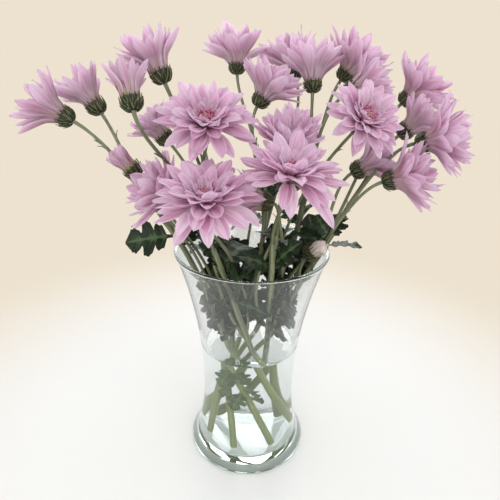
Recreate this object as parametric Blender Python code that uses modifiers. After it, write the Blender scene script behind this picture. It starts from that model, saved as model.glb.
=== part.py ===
"""Chrysanthemum bouquet standing in a flared glass vase of water.

Lengths are in millimetres and angles in degrees, and MM turns them into Blender's metres.
The origin is the middle of the vase's flat underside, +Z is up and -Y is the front.
The flowers are spray chrysanthemums: each main stem forks into flower stalks, and each stalk
ends in a green cup of bracts that holds one bloom.
"""
import math
import random
from collections import namedtuple

import bmesh
import bpy
import numpy as np
from mathutils import Vector
from mathutils.bvhtree import BVHTree

MM = 0.001
NAME = "chrysanthemum_bouquet"
GAP = 0.3

# Vase and water
VASE_H = 190.0
RIM_R = 60.0
WAIST_R = 39.0
WAIST_Z = 64.0
FOOT_R = 51.0
FOOT_EDGE = 3.0
FLARE_LOW = 2.5
FLARE_HIGH = 1.95
WALL_TOP = 2.4
WALL_BOTTOM = 4.2
FLOOR_Z = 9.0
CORNER_R = 5.0
WATER_Z = 103.0
WATER_GAP = 0.4
VASE_STEPS = 26
VASE_HEIGHTS = (165.0, 138.0, 108.0, 64.0, 36.0, 20.0, 9.0)
WATER_HEIGHTS = (64.0, 40.0, 26.0)

# Main stems: they stand in a spiral, so that none crosses another in the vase's waist
STEM_R = 2.7
STEM_TOP_R = 2.0
STEM_FOOT_Z = 10.9
STEM_FOOT_RADIUS = 29.0
STEM_SPIRAL = 130.0
STEM_SIDES = 6
STEM_BEND = 0.5
STEM_LEAN = (0.75, 0.97)
STALK_R = 1.3
STALK_LEAVES = 0.36
STALK_ARRIVES = 0.20
STALK_SINK = 4.0
STRAND_STEP = 3.0
STRAND_CLEAR = 1.6
PUSH_ROUNDS = 60
PUSH_SPREAD = 7
PUSH_STEP = 0.3
PUSH_FREE_Z = 130.0
STRAIGHT_Z = 103.5
STEM_EVERY = 9
STALK_EVERY = 12
HOLE_PAST = 0.12
HOLE_R = 3.15

# Flower heads, measured along the bloom's own axis from the mouth of its green cup
CUP_R = 7.0
CUP_DEPTH = 9.5
CUP_MIDDLE = 4.0
CUP_SIDES = 8
# Rings of the cup from its mouth down: radius, height, and what every other corner adds
CUP_RINGS = ((0.0, -0.02, 0.0, 0.0), (1.0, -0.02, 0.08, 0.16), (0.96, -0.48, -0.12, 0.0),
             (0.50, -0.92, 0.0, 0.0), (0.0, -1.0, 0.0, 0.0))
CORE_R = 6.8
CORE_H = 6.0
CORE_SIDES = 6
# Rings of the core from its top down: radius and height
CORE_RINGS = ((0.0, 1.0), (1.0, 0.42), (0.9, 0.0), (0.0, 0.0))
CLOSED_WIDE = 0.84
CLOSED_HIGH = 1.5
PETAL_LENGTH = 32.0
PETAL_WIDTH = 9.6
PETAL_THICK = 1.4
PETAL_ROOT_R = 0.8
PETAL_ROOT_H = 2.2
PETAL_ROW_H = 1.1
PETAL_CLEAR = 0.45
PETAL_STATIONS = (0.42, 0.84)
PETAL_WIDTHS = (1.0, 0.78)
TRY_LIFTS = (0, 7, -7, 14, -14, 22, 30, 40)
TRY_LENGTHS = (1.0, 0.86, 0.72)
# How far the seeded draws go: share of a petal's step round the row, then degrees and shares
DRAW_TURN = 0.14
DRAW_LIFT = 6.0
DRAW_CURL = 10.0
DRAW_TWIST = 14.0
DRAW_LENGTH = (0.90, 1.06)
LOOSE_WIDTH = 0.95

# Leaves
LEAF_LENGTH = 46.0
LEAF_WIDTH = 34.0
LEAF_THICK = 1.5
LEAF_ARCH = 5.0
LEAF_CLEAR = 0.5
LEAF_ABOVE_WATER = 2.0
LEAF_TRIES = 120
LEAF_REACH = 62.0
LEAF_ROLL = 35.0
# Seeded leaves point no further to the front than this share of -Y, so that the stems stay in view
LEAF_FRONT = 0.35
# Half of the lobed outline: share of the length, share of the width, index of the rib point
LEAF_RIB = (0.0, 0.24, 0.42, 0.62, 0.82, 1.0)
LEAF_EDGE = (
    (0.00, 0.04, 0), (0.18, 0.07, 1), (0.22, 0.27, 1), (0.36, 0.35, 1), (0.40, 0.17, 2),
    (0.47, 0.44, 2), (0.60, 0.46, 2), (0.63, 0.19, 3), (0.76, 0.34, 3), (0.86, 0.26, 4),
)
# Points of a leaf that lie in or near the stem: both ends of its ribs' start and of its first edges
LEAF_FOOT = {0, 5, 10, 11, 20, 21}

# What the tests of clear space hold for the glass wall and for a green cup
WALL_HEIGHTS = (60.0, 100.0, 130.0, 160.0, 190.0)
WALL_TURNS = 36
CUP_ROOM_R = 8.3
CUP_ROOM_HEIGHTS = (-9.5, -6.7, -3.0, 0.0)
SHARP = 40.0

Spray = namedtuple("Spray", "name azimuth rim fork")
Bloom = namedtuple("Bloom", "name spray at azimuth lift kind size leave")
Row = namedtuple("Row", "count lift curl length width")
Leaf = namedtuple("Leaf", "spray at azimuth lift curl size roll")
LeafKind = namedtuple("LeafKind", "count start end fan lifts curls sizes")

SPRAYS = (
    Spray("left", 180, 50, (-66, -8, 213)),
    Spray("front_left", 240, 43, (-27, -36, 203)),
    Spray("back_left", 120, 40, (-36, 14, 216)),
    Spray("front", 290, 43, (14, -32, 206)),
    Spray("back", 70, 42, (10, 36, 222)),
    Spray("right", 30, 44, (40, 18, 218)),
    Spray("right_front", 350, 51, (60, -9, 206)),
)

# A bloom's place is the middle of its green cup, and its azimuth and lift are where it faces
BLOOMS = (
    Bloom("front_left_large", "front_left", (-28, -66, 241), -88, 74, "open", 1.02, 1.0),
    Bloom("front_right_large", "front", (21, -58, 256), -72, 73, "open", 0.98, 1.0),
    Bloom("centre_left_large", "back_left", (-30, -38, 283), -85, 57, "open", 0.92, 1.00),
    Bloom("right_large", "right", (67, -20, 286), -64, 44, "open", 0.82, 1.00),
    Bloom("left_1", "left", (-126, -10, 285), 180, 28, "bell", 0.86, 0.80),
    Bloom("left_2", "left", (-110, 5, 290), 158, 50, "bell", 0.78, 1.0),
    Bloom("left_3", "back_left", (-73, -45, 299), 118, 58, "tight", 0.64, 0.80),
    Bloom("left_bud", "left", (-83, -12, 250), 180, 45, "half", 0.80, 0.88),
    Bloom("left_top", "back_left", (-59, -20, 313), 164, 65, "bell", 0.80, 0.74),
    Bloom("left_inner", "back_left", (-66, 20, 267), 178, 49, "bell", 0.68, 0.84),
    Bloom("low_left", "front_left", (-52, -28, 236), -168, 30, "wide", 0.92, 0.78),
    Bloom("top_back", "back", (-16, 85, 314), 98, 77, "wide", 1.0, 1.0),
    Bloom("top_centre", "back", (3, 40, 293), 20, 58, "wide", 0.94, 0.80),
    Bloom("top_far", "back", (33, 90, 310), 155, 67, "bell", 1.0, 0.74),
    Bloom("behind_front", "front", (22, -8, 264), -87, 70, "bell", 0.85, 0.76),
    Bloom("low_centre", "front", (10, -20, 233), -170, 12, "bell", 0.80, 0.84),
    Bloom("top_right", "right", (44, 50, 304), 90, 68, "bell", 0.98, 0.76),
    Bloom("top_right_near", "right", (67, 22, 303), 12, 28, "bell", 0.80, 0.80),
    Bloom("right_top", "right", (69, 60, 312), -6, 57, "wide", 1.0, 0.84),
    Bloom("right_far", "right_front", (120, 60, 295), -8, 48, "wide", 1.0, 0.82),
    Bloom("right_edge", "right_front", (115, -5, 274), -28, 16, "wide", 0.98, 0.76),
    Bloom("right_behind", "right_front", (112, 28, 275), -3, 42, "bell", 0.80, 0.88),
    Bloom("right_low", "right_front", (93, -15, 249), -18, 22, "wide", 0.96, 0.72),
    Bloom("right_inner", "right_front", (76, 10, 249), -5, 32, "bell", 0.80, 0.80),
    Bloom("closed_bud", "right_front", (43, -15, 191), -20, 45, "closed", 0.80, 0.66),
    Bloom("back_low_left", "back_left", (-46, 66, 262), 120, 40, "bell", 1.0, 0.80),
    Bloom("back_low_right", "back", (34, 92, 250), 65, 38, "bell", 1.0, 0.82),
)

ROWS = {
    "open": (Row(9, 8, -22, 1.0, 1.0), Row(8, 36, -6, 0.90, 0.94), Row(5, 64, 8, 0.60, 0.70)),
    "wide": (Row(8, 30, -10, 1.0, 1.12), Row(6, 58, -4, 0.94, 1.0)),
    "bell": (Row(8, 44, -8, 1.0, 1.0), Row(6, 67, -2, 0.93, 0.88)),
    "tight": (Row(8, 58, -10, 1.0, 0.90), Row(5, 76, 0, 0.90, 0.70)),
    "half": (Row(7, 66, 12, 0.62, 0.62),),
    "closed": (),
}

# Petals that hang loose: bloom, azimuth in the room, lift, curl, length
LOOSE = (
    ("front_left_large", -112, -24, -46, 0.98),
    ("front_left_large", -86, -22, -58, 1.0),
    ("front_right_large", -56, -20, -40, 1.25),
)

# A leaf's roll turns its face about its own way out, clockwise as seen from its tip
LEAVES = (
    Leaf("left", 0.93, 196, 2, -34, 0.86, 52),
    Leaf("right_front", 0.93, -10, 12, -20, 0.60, 0),
    Leaf("left", 0.99, 130, 60, -20, 0.62, 0),
)
# Seeded leaves of each spray: how many, where along the main stem, how far round from the spray's
# own way, and their lift, curl and size; below the rim they stand or hang along the glass
LEAF_KINDS = (
    LeafKind(1, 0.55, 0.80, 85, (20, 55), (15, 50), (0.65, 1.0)),
    LeafKind(2, 0.60, 0.86, 85, (-60, -5), (-65, -15), (0.65, 1.0)),
    LeafKind(1, 0.86, 0.97, 180, (-10, 45), (-80, -30), (0.6, 0.9)),
)

COLOURS = {
    "glass": ((0.86, 0.93, 0.92), 0.05),
    "water": ((0.80, 0.88, 0.88), 0.02),
    "green": ((0.09, 0.14, 0.05), 0.55),
    "petal": ((0.72, 0.42, 0.62), 0.60),
    "bud": ((0.45, 0.42, 0.30), 0.60),
}


def unit(azimuth, lift=0.0):
    """Unit vector at an azimuth, counted from +X towards +Y, and a lift above level."""
    a, b = math.radians(azimuth), math.radians(lift)
    return Vector((math.cos(a) * math.cos(b), math.sin(a) * math.cos(b), math.sin(b)))


def outer_radius(z):
    """Outside of the vase: narrowest at the waist, flared to the rim and to the foot."""
    if z < WAIST_Z:
        return WAIST_R + (FOOT_R - WAIST_R) * ((WAIST_Z - z) / WAIST_Z) ** FLARE_LOW
    return WAIST_R + (RIM_R - WAIST_R) * ((z - WAIST_Z) / (VASE_H - WAIST_Z)) ** FLARE_HIGH


def inner_radius(z):
    """Inside of the vase: the wall thickens a little towards the foot."""
    return outer_radius(z) - WALL_BOTTOM + (WALL_BOTTOM - WALL_TOP) * z / VASE_H


def bezier(p0, p1, p2, p3, step=STRAND_STEP):
    """Points about one step apart along a cubic Bezier curve."""
    p0, p1, p2, p3 = (np.array(p, float) for p in (p0, p1, p2, p3))
    count = max(2 * PUSH_SPREAD + 3, int(np.linalg.norm(p3 - p0) / step) + 1)
    t = np.linspace(0, 1, count)[:, None]
    return p0 * (1 - t) ** 3 + 3 * p1 * t * (1 - t) ** 2 + 3 * p2 * t ** 2 * (1 - t) + p3 * t ** 3


def along(points, share):
    """Point and direction at a share of a strand's number of points."""
    i = min(int(share * (len(points) - 1)), len(points) - 2)
    direction = points[i + 1] - points[i]
    return points[i], direction / np.linalg.norm(direction)


def stem_line(spray):
    """Centre line of a main stem: straight from its cut foot, then bent towards its fork."""
    foot = unit(spray.azimuth + STEM_SPIRAL) * STEM_FOOT_RADIUS + Vector((0, 0, STEM_FOOT_Z))
    rim = unit(spray.azimuth) * spray.rim + Vector((0, 0, VASE_H))
    bend = foot.lerp(rim, STEM_BEND)
    count = int((bend - foot).length / STRAND_STEP)
    straight = [np.array(foot.lerp(bend, k / count)) for k in range(count)]
    lean = [foot.lerp(rim, share) for share in STEM_LEAN]
    return np.vstack([straight, bezier(bend, *lean, spray.fork)])


def stalk_line(bloom, stem):
    """Centre line of a flower stalk, from its fork on the main stem to its green cup."""
    start, way = along(stem, bloom.leave)
    axis = np.array(unit(bloom.azimuth, bloom.lift))
    end = np.array(bloom.at) - axis * STALK_SINK
    reach = np.linalg.norm(end - start)
    return bezier(start, start + way * reach * STALK_LEAVES, end - axis * reach * STALK_ARRIVES, end)


def push_apart(strands, cups):
    """Bend strands of different sprays clear of each other and of the other blooms' cups."""
    kernel = np.hanning(2 * PUSH_SPREAD + 3)[1:-1]
    kernel /= kernel.max()
    for _ in range(PUSH_ROUNDS):
        for i, one in enumerate(strands):
            shift = np.zeros_like(one["points"])
            for j, two in enumerate(strands):
                if one["spray"] == two["spray"]:
                    continue
                shift += push(one["points"], two["points"], one["r"] + two["r"] + STRAND_CLEAR)
            for name, at in cups.items():
                if name != one["bloom"]:
                    shift += push(one["points"], at[None], one["r"] + CUP_R + 2 * STRAND_CLEAR)
            ends = np.sin(np.linspace(0, math.pi, len(shift))) ** 0.5
            ends[one["points"][:, 2] < PUSH_FREE_Z] = 0
            for k in range(3):
                shift[:, k] = np.convolve(shift[:, k], kernel, mode="same")
            one["points"] += shift * ends[:, None] * PUSH_STEP


def push(points, others, need):
    """Shift that takes each point away from the nearest other point, where it is too near."""
    away = points[:, None] - others[None]
    far = np.linalg.norm(away, axis=2)
    near = far.argmin(axis=1)
    rows = np.arange(len(points))
    least = far[rows, near]
    short = np.clip(need - least, 0, None)
    return away[rows, near] / np.maximum(least, 0.01)[:, None] * short[:, None]


def spine(length, lift, curl, stations):
    """Way out, way up and slope of a blade's middle line at each station."""
    out, up, last, result = 0.0, 0.0, 0.0, []
    for s in stations:
        slope = math.radians(lift + curl * (s + last) / 2)
        out += length * (s - last) * math.cos(slope)
        up += length * (s - last) * math.sin(slope)
        result.append((out, up, math.radians(lift + curl * s)))
        last = s
    return result


def petal_shape(root, out, axis, lift, curl, length, width, twist, grow=0.0):
    """Vertices and triangles of a petal: a point at its root, flat above, with a keel below."""
    side = axis.cross(out)
    points = [root]
    line = spine(length + grow, lift, curl, (*PETAL_STATIONS, 1.0))
    for share, wide, (a, b, slope) in zip(PETAL_STATIONS, PETAL_WIDTHS, line):
        middle = root + out * a + axis * b
        across = axis * math.cos(slope) - out * math.sin(slope)
        turn = math.radians(twist) * share
        edge = side * math.cos(turn) + across * math.sin(turn)
        over = across * math.cos(turn) - side * math.sin(turn)
        half = wide * width / 2 + grow
        points += [middle + edge * half + over * grow, middle - edge * half + over * grow,
                   middle - over * (PETAL_THICK + grow)]
    a, b, _ = line[-1]
    points.append(root + out * a + axis * b)
    faces = []
    for a, b in ((1, 2), (2, 3), (3, 1)):
        faces += [(0, a, b), (a, b, b + 3), (a, b + 3, a + 3), (a + 3, b + 3, 7)]
    return points, faces


def leaf_shape(root, out, axis, lift, curl, size, grow=0.0):
    """Vertices and triangles of a lobed leaf, thickest along its rib."""
    side = axis.cross(out)
    line = spine(LEAF_LENGTH * size + grow, lift, curl, LEAF_RIB)
    top, under, left, right = [], [], [], []
    for a, b, slope in line:
        middle = root + out * a + axis * b
        across = axis * math.cos(slope) - out * math.sin(slope)
        top.append(middle + across * grow)
        under.append(middle - across * (LEAF_THICK + grow))
    for s, w, i in LEAF_EDGE:
        a, b, slope = spine(LEAF_LENGTH * size + grow, lift, curl, (*LEAF_RIB[1:i + 1], s))[-1]
        across = axis * math.cos(slope) - out * math.sin(slope)
        middle = root + out * a + axis * b + across * (w * LEAF_ARCH * size - LEAF_THICK / 2)
        left.append(middle + side * (w * LEAF_WIDTH * size + grow))
        right.append(middle - side * (w * LEAF_WIDTH * size + grow))
    points = top[:-1] + under[:-1] + left + right + [(top[-1] + under[-1]) / 2]
    ribs, edges, tip = len(top) - 1, len(LEAF_EDGE), len(points) - 1
    faces = [(2 * ribs, 0, 2 * ribs + edges), (2 * ribs, 2 * ribs + edges, ribs)]
    for base in (2 * ribs, 2 * ribs + edges):
        for rib in (0, ribs):
            for k in range(edges):
                i = LEAF_EDGE[k][2]
                after = LEAF_EDGE[k + 1][2] if k + 1 < edges else None
                edge_next = base + k + 1 if k + 1 < edges else tip
                faces.append((rib + i, base + k, edge_next))
                if after is not None and after != i:
                    faces.append((rib + i, edge_next, rib + after))
    return points, faces


class Room:
    """What is already placed: a tree of triangles with a ball round each piece."""

    def __init__(self):
        self.pieces = []

    def add(self, owner, points, faces):
        middle = sum(points, Vector()) / len(points)
        reach = max((p - middle).length for p in points)
        self.pieces.append((owner, middle, reach, BVHTree.FromPolygons(points, faces)))

    def is_clear(self, points, faces, ignore=(), only=None):
        middle = sum(points, Vector()) / len(points)
        reach = max((p - middle).length for p in points)
        tree = BVHTree.FromPolygons(points, faces)
        for owner, centre, radius, other in self.pieces:
            if owner in ignore or only not in (None, owner):
                continue
            if (middle - centre).length < reach + radius and tree.overlap(other):
                return False
        return True


def tube_shape(points, radius, sides=STEM_SIDES):
    """Vertices and triangles of a plain tube with its start closed, for the tests of what is clear."""
    points = [Vector(p) for p in points]
    verts, faces = [], [(0, k + 1, k) for k in range(1, sides - 1)]
    for i, p in enumerate(points):
        way = (points[min(i + 1, len(points) - 1)] - points[max(i - 1, 0)]).normalized()
        side = way.orthogonal().normalized()
        for k in range(sides):
            turn = math.tau * k / sides
            verts.append(p + radius * (side * math.cos(turn) + way.cross(side) * math.sin(turn)))
    for i in range(len(points) - 1):
        for k in range(sides):
            a, b = i * sides + k, i * sides + (k + 1) % sides
            faces += [(a, b, b + sides), (a, b + sides, a + sides)]
    return verts, faces


def plan_strands():
    """Centre lines of all main stems and flower stalks, bent clear of each other."""
    stems = {s.name: stem_line(s) for s in SPRAYS}
    strands = [{"spray": s.name, "bloom": None, "points": stems[s.name], "r": STEM_R}
               for s in SPRAYS]
    cups = {b.name: np.array(b.at, float) for b in BLOOMS}
    for b in BLOOMS:
        line = stalk_line(b, stems[b.spray])
        strands.append({"spray": b.spray, "bloom": b.name, "points": line, "r": STALK_R})
    push_apart(strands, cups)
    return strands


def head_frame(bloom):
    """Middle of a bloom's cup mouth, its axis and two directions across it."""
    axis = unit(bloom.azimuth, bloom.lift)
    across = Vector((0, 0, 1)).cross(axis).normalized()
    return Vector(bloom.at) + axis * CUP_MIDDLE, axis, across, axis.cross(across)


def plan_petals(room):
    """Every petal that finds room, bloom by bloom, as points and triangles."""
    petals = {b.name: [] for b in BLOOMS}
    for number, bloom in enumerate(BLOOMS):
        draw = random.Random(100 + number)
        mouth, axis, u, v = head_frame(bloom)
        for name, azimuth, lift, curl, length in LOOSE:
            if name == bloom.name:
                way = unit(azimuth)
                out = (way - axis * way.dot(axis)).normalized()
                place_petal(room, petals, bloom, out, lift, curl, length, LOOSE_WIDTH, 0, 0)
        for level, row in enumerate(ROWS[bloom.kind]):
            start = draw.uniform(0, 360)
            for k in range(row.count):
                turn = math.radians(start + 360 * (k + draw.uniform(-DRAW_TURN, DRAW_TURN)) / row.count)
                out = u * math.cos(turn) + v * math.sin(turn)
                lift = row.lift + draw.uniform(-DRAW_LIFT, DRAW_LIFT)
                curl = row.curl + draw.uniform(-DRAW_CURL, DRAW_CURL)
                length = row.length * draw.uniform(*DRAW_LENGTH)
                twist = draw.uniform(-DRAW_TWIST, DRAW_TWIST)
                place_petal(room, petals, bloom, out, lift, curl, length, row.width, twist, level)
    return petals


def place_petal(room, petals, bloom, out, lift, curl, length, width, twist, level):
    """Add a petal, raised, lowered or shortened until nothing is in its way, or leave it out."""
    mouth, axis, _, _ = head_frame(bloom)
    root = mouth + axis * (PETAL_ROOT_H + PETAL_ROW_H * level) + out * PETAL_ROOT_R
    for share in TRY_LENGTHS:
        for more in TRY_LIFTS:
            size = (PETAL_LENGTH * bloom.size * length * share, PETAL_WIDTH * bloom.size * width)
            shape = (root, out, axis, lift + more, curl, *size, twist)
            points, faces = petal_shape(*shape)
            blade = [f for f in faces if 0 not in f]
            own = bloom.name + " blades"
            if not room.is_clear(points, blade, only=own):
                continue
            if room.is_clear(*petal_shape(*shape, grow=PETAL_CLEAR), ignore=(bloom.name, own)):
                room.add(bloom.name, points, faces)
                room.add(own, points, blade)
                petals[bloom.name].append((points, faces))
                return


def plan_leaves(room, strands):
    """Leaves named one by one, then seeded leaves along each main stem where there is room."""
    leaves = {s.name: [] for s in SPRAYS}
    stems = {s["spray"]: s["points"] for s in strands if s["bloom"] is None}
    for leaf in LEAVES:
        add_leaf(room, leaves, leaf, stems[leaf.spray], math.inf)
    for number, spray in enumerate(SPRAYS):
        draw = random.Random(500 + number)
        for kind in LEAF_KINDS:
            found = 0
            for _ in range(LEAF_TRIES):
                turn = spray.azimuth + draw.uniform(-kind.fan, kind.fan)
                place = draw.uniform(kind.start, kind.end)
                leaf = Leaf(spray.name, place, turn, draw.uniform(*kind.lifts), draw.uniform(*kind.curls),
                            draw.uniform(*kind.sizes), draw.uniform(-LEAF_ROLL, LEAF_ROLL))
                if found < kind.count and unit(turn).y > -LEAF_FRONT:
                    found += add_leaf(room, leaves, leaf, stems[spray.name], LEAF_REACH)
    return leaves


def add_leaf(room, leaves, leaf, stem, reach):
    """Add a leaf if it is clear of everything, within reach and above the water, and say if it was."""
    at, _ = along(stem, leaf.at)
    out = unit(leaf.azimuth)
    axis = unit(leaf.azimuth + 90, 90 - leaf.roll)
    shape = (Vector(at), out, axis, leaf.lift, leaf.curl, leaf.size)
    points, faces = leaf_shape(*shape, grow=LEAF_CLEAR)
    if min(p.z for p in points) < WATER_Z + LEAF_ABOVE_WATER or max(p.xy.length for p in points) > reach:
        return False
    blade = [f for f in faces if not set(f) & LEAF_FOOT]
    if not room.is_clear(points, blade, only=leaf.spray):
        return False
    if not room.is_clear(points, faces, ignore=(leaf.spray,)):
        return False
    points, faces = leaf_shape(*shape)
    room.add(leaf.spray, points, faces)
    leaves[leaf.spray].append((points, faces))
    return True


def material(name, kind):
    """Plain Principled material for one node."""
    colour, roughness = COLOURS[kind]
    result = bpy.data.materials.new(name)
    result.use_nodes = True
    shader = result.node_tree.nodes["Principled BSDF"]
    shader.inputs["Base Color"].default_value = (*colour, 1)
    shader.inputs["Roughness"].default_value = roughness
    shader.inputs["Metallic"].default_value = 0
    if kind in ("glass", "water"):
        shader.inputs["Transmission Weight"].default_value = 0.9
    return result


def new_object(name, mesh):
    """Object of a mesh, linked to the collection of loose pieces."""
    result = bpy.data.objects.new(name, mesh)
    pieces_collection.objects.link(result)
    return result


def mesh_piece(name, points, faces):
    """Closed piece from points in millimetres, its faces turned outward."""
    mesh = bpy.data.meshes.new(name)
    mesh.from_pydata([p * MM for p in points], [], faces)
    bm = bmesh.new()
    bm.from_mesh(mesh)
    bmesh.ops.recalc_face_normals(bm, faces=bm.faces)
    bm.to_mesh(mesh)
    bm.free()
    return new_object(name, mesh)


def tube_piece(name, points, radii, resolution=1):
    """Closed tube along points in millimetres, from a bevelled curve made a mesh."""
    curve = bpy.data.curves.new(name, "CURVE")
    curve.dimensions = "3D"
    curve.bevel_depth = MM
    curve.bevel_resolution = resolution
    curve.use_fill_caps = True
    spline = curve.splines.new("POLY")
    spline.points.add(len(points) - 1)
    for spot, p, r in zip(spline.points, points, radii):
        spot.co = (*(Vector(p) * MM), 1)
        spot.radius = r
    rough = new_object(name + "_curve", curve)
    graph = bpy.context.evaluated_depsgraph_get()
    mesh = bpy.data.meshes.new_from_object(rough.evaluated_get(graph))
    bm = bmesh.new()
    bm.from_mesh(mesh)
    bmesh.ops.remove_doubles(bm, verts=bm.verts, dist=1e-6)
    bmesh.ops.recalc_face_normals(bm, faces=bm.faces)
    bm.to_mesh(mesh)
    bm.free()
    bpy.data.objects.remove(rough)
    return new_object(name, mesh)


def turned(name, profile):
    """Mesh turned from a profile of (radius, height) pairs with a Screw modifier."""
    mesh = bpy.data.meshes.new(name)
    mesh.from_pydata([(r * MM, 0, z * MM) for r, z in profile],
                     [(i, i + 1) for i in range(len(profile) - 1)], [])
    rough = new_object(name + "_profile", mesh)
    screw = rough.modifiers.new("turn", "SCREW")
    screw.steps = VASE_STEPS
    screw.render_steps = VASE_STEPS
    screw.use_merge_vertices = True
    screw.merge_threshold = 0.00001
    result = baked(rough)
    bpy.data.objects.remove(rough)
    return result


def baked(piece):
    """The piece's evaluated mesh, without its modifiers."""
    graph = bpy.context.evaluated_depsgraph_get()
    return bpy.data.meshes.new_from_object(piece.evaluated_get(graph))


def is_closed(mesh):
    """True where every edge has exactly two faces."""
    bm = bmesh.new()
    bm.from_mesh(mesh)
    closed = len(bm.faces) > 0 and all(len(e.link_faces) == 2 for e in bm.edges)
    bm.free()
    return closed


def islands(bm):
    """Lists of the faces that hang together, with the volume that each list closes in."""
    left, result = set(bm.faces), []
    while left:
        stack, group = [left.pop()], []
        while stack:
            face = stack.pop()
            group.append(face)
            for edge in face.edges:
                for other in edge.link_faces:
                    if other in left:
                        left.remove(other)
                        stack.append(other)
        volume = sum(f.calc_center_median().dot(f.normal) * f.calc_area() for f in group) / 3
        result.append((volume, group))
    return sorted(result, key=lambda pair: pair[0])


def boolean(pieces, operation, solver):
    """Mesh of the first piece joined with, or cut by, the others."""
    tools = bpy.data.collections.new("tools")
    bpy.context.scene.collection.children.link(tools)
    for piece in pieces[1:]:
        tools.objects.link(piece)
    change = pieces[0].modifiers.new("change", "BOOLEAN")
    change.operation = operation
    change.operand_type = "COLLECTION"
    change.collection = tools
    change.solver = solver
    mesh = baked(pieces[0])
    pieces[0].modifiers.remove(change)
    bpy.data.collections.remove(tools)
    return mesh


def fuse(name, pieces, kind, operation="UNION"):
    """One body from closed pieces that overlap, as a finished node."""
    for solver in ("EXACT", "MANIFOLD"):
        mesh = boolean(pieces, operation, solver)
        bm = bmesh.new()
        bm.from_mesh(mesh)
        bmesh.ops.triangulate(bm, faces=bm.faces)
        groups = islands(bm)
        spare = [face for _, group in groups[:-1] for face in group]
        bmesh.ops.delete(bm, geom=spare, context="FACES")
        bm.to_mesh(mesh)
        bm.free()
        if is_closed(mesh):
            break
        print("fused again:", name, solver)
    for piece in pieces:
        bpy.data.objects.remove(piece)
    finish(name, mesh, kind)


def finish(name, mesh, kind):
    """Put a finished mesh in the bouquet's collection, with its own material."""
    mesh.materials.clear()
    mesh.materials.append(material(name, kind))
    result = bpy.data.objects.new(name, mesh)
    bouquet_collection.objects.link(result)
    mesh.shade_smooth()
    mesh.set_sharp_from_angle(angle=math.radians(SHARP))


def inner_corner(gap):
    """Rounded corner between the vase's floor and its wall, from the floor up, moved in by a gap."""
    wide, low = inner_radius(FLOOR_Z + CORNER_R) - gap, FLOOR_Z + gap
    turns = [math.radians(a) for a in (0, 30, 60, 90)]
    return [(wide - CORNER_R * (1 - math.sin(a)), low + CORNER_R * (1 - math.cos(a))) for a in turns]


def make_vase():
    """Glass vase: thick flat foot, narrow waist and wide rim, one turned solid."""
    inside = [(0, FLOOR_Z)] + inner_corner(0)
    inside += [(inner_radius(z), z) for z in np.linspace(FLOOR_Z + CORNER_R, VASE_H, 7)[1:]]
    outside = [(RIM_R, VASE_H)] + [(outer_radius(z), z) for z in VASE_HEIGHTS]
    foot = [(FOOT_R, FOOT_EDGE), (FOOT_R - 1.0, 0), (0, 0)]
    finish("vase", turned("vase", inside + outside + foot), "glass")


def make_water(strands):
    """Water: a turned solid just inside the glass, with a plain hole for each stem."""
    profile = [(0, WATER_Z)]
    profile += [(inner_radius(z) - WATER_GAP, z) for z in (WATER_Z, *WATER_HEIGHTS)]
    profile += inner_corner(WATER_GAP)[::-1] + [(0, FLOOR_Z + WATER_GAP)]
    pieces = [new_object("water_body", turned("water", profile))]
    for strand in strands:
        if strand["bloom"] is None:
            foot, bend = tube_points(strand["points"], STEM_EVERY)[:2]
            past = (bend - foot) * HOLE_PAST
            pieces.append(tube_piece("hole", [foot - past, bend + past], [HOLE_R] * 2))
    fuse("water", pieces, "water", "DIFFERENCE")


def tube_points(points, every):
    """A strand's first point, every so many past its straight foot, and its last."""
    kept = [p for i, p in enumerate(points) if i and i % every == 0 and p[2] > STRAIGHT_Z]
    if len(kept) > 1 and np.linalg.norm(kept[-1] - points[-1]) < every * STRAND_STEP / 2:
        kept.pop()
    return [points[0], *kept, points[-1]]


def cup_piece(bloom):
    """Green cup of overlapping bracts: a ball pressed into a cup, with its rows scalloped."""
    mouth, axis, u, v = head_frame(bloom)
    bm = bmesh.new()
    bmesh.ops.create_uvsphere(bm, u_segments=CUP_SIDES, v_segments=len(CUP_RINGS) - 1, radius=1)
    for vert in bm.verts:
        ring = round(math.acos(max(-1, min(1, vert.co.z))) / math.pi * (len(CUP_RINGS) - 1))
        turn = math.atan2(vert.co.y, vert.co.x)
        odd = round(turn / (math.tau / CUP_SIDES)) % 2
        wide, high, scallop, drop = CUP_RINGS[ring]
        wide = CUP_R * (wide + scallop * odd)
        high = CUP_DEPTH * (high - drop * odd)
        vert.co = (mouth + axis * high + (u * math.cos(turn) + v * math.sin(turn)) * wide) * MM
    return sphere_piece(bloom.name + "_cup", bm)


def sphere_piece(name, bm):
    """Piece from a reshaped ball, cut into triangles and facing out."""
    mesh = bpy.data.meshes.new(name)
    bmesh.ops.triangulate(bm, faces=bm.faces)
    bmesh.ops.recalc_face_normals(bm, faces=bm.faces)
    bm.to_mesh(mesh)
    bm.free()
    return new_object(name, mesh)


def core_piece(bloom):
    """Low dome that a bloom's petals grow from, just above the mouth of the cup."""
    mouth, axis, u, v = head_frame(bloom)
    bm = bmesh.new()
    bmesh.ops.create_uvsphere(bm, u_segments=CORE_SIDES, v_segments=len(CORE_RINGS) - 1, radius=1)
    for vert in bm.verts:
        ring = round(math.acos(max(-1, min(1, vert.co.z))) / math.pi * (len(CORE_RINGS) - 1))
        turn = math.atan2(vert.co.y, vert.co.x)
        wide, high = CORE_RINGS[ring]
        if bloom.kind == "closed":
            wide, high = wide * CLOSED_WIDE, high * CLOSED_HIGH
        around = u * math.cos(turn) + v * math.sin(turn)
        vert.co = (mouth + axis * (GAP + high * CORE_H) + around * (wide * CORE_R)) * MM
    return sphere_piece(bloom.name + "_core", bm)


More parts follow.
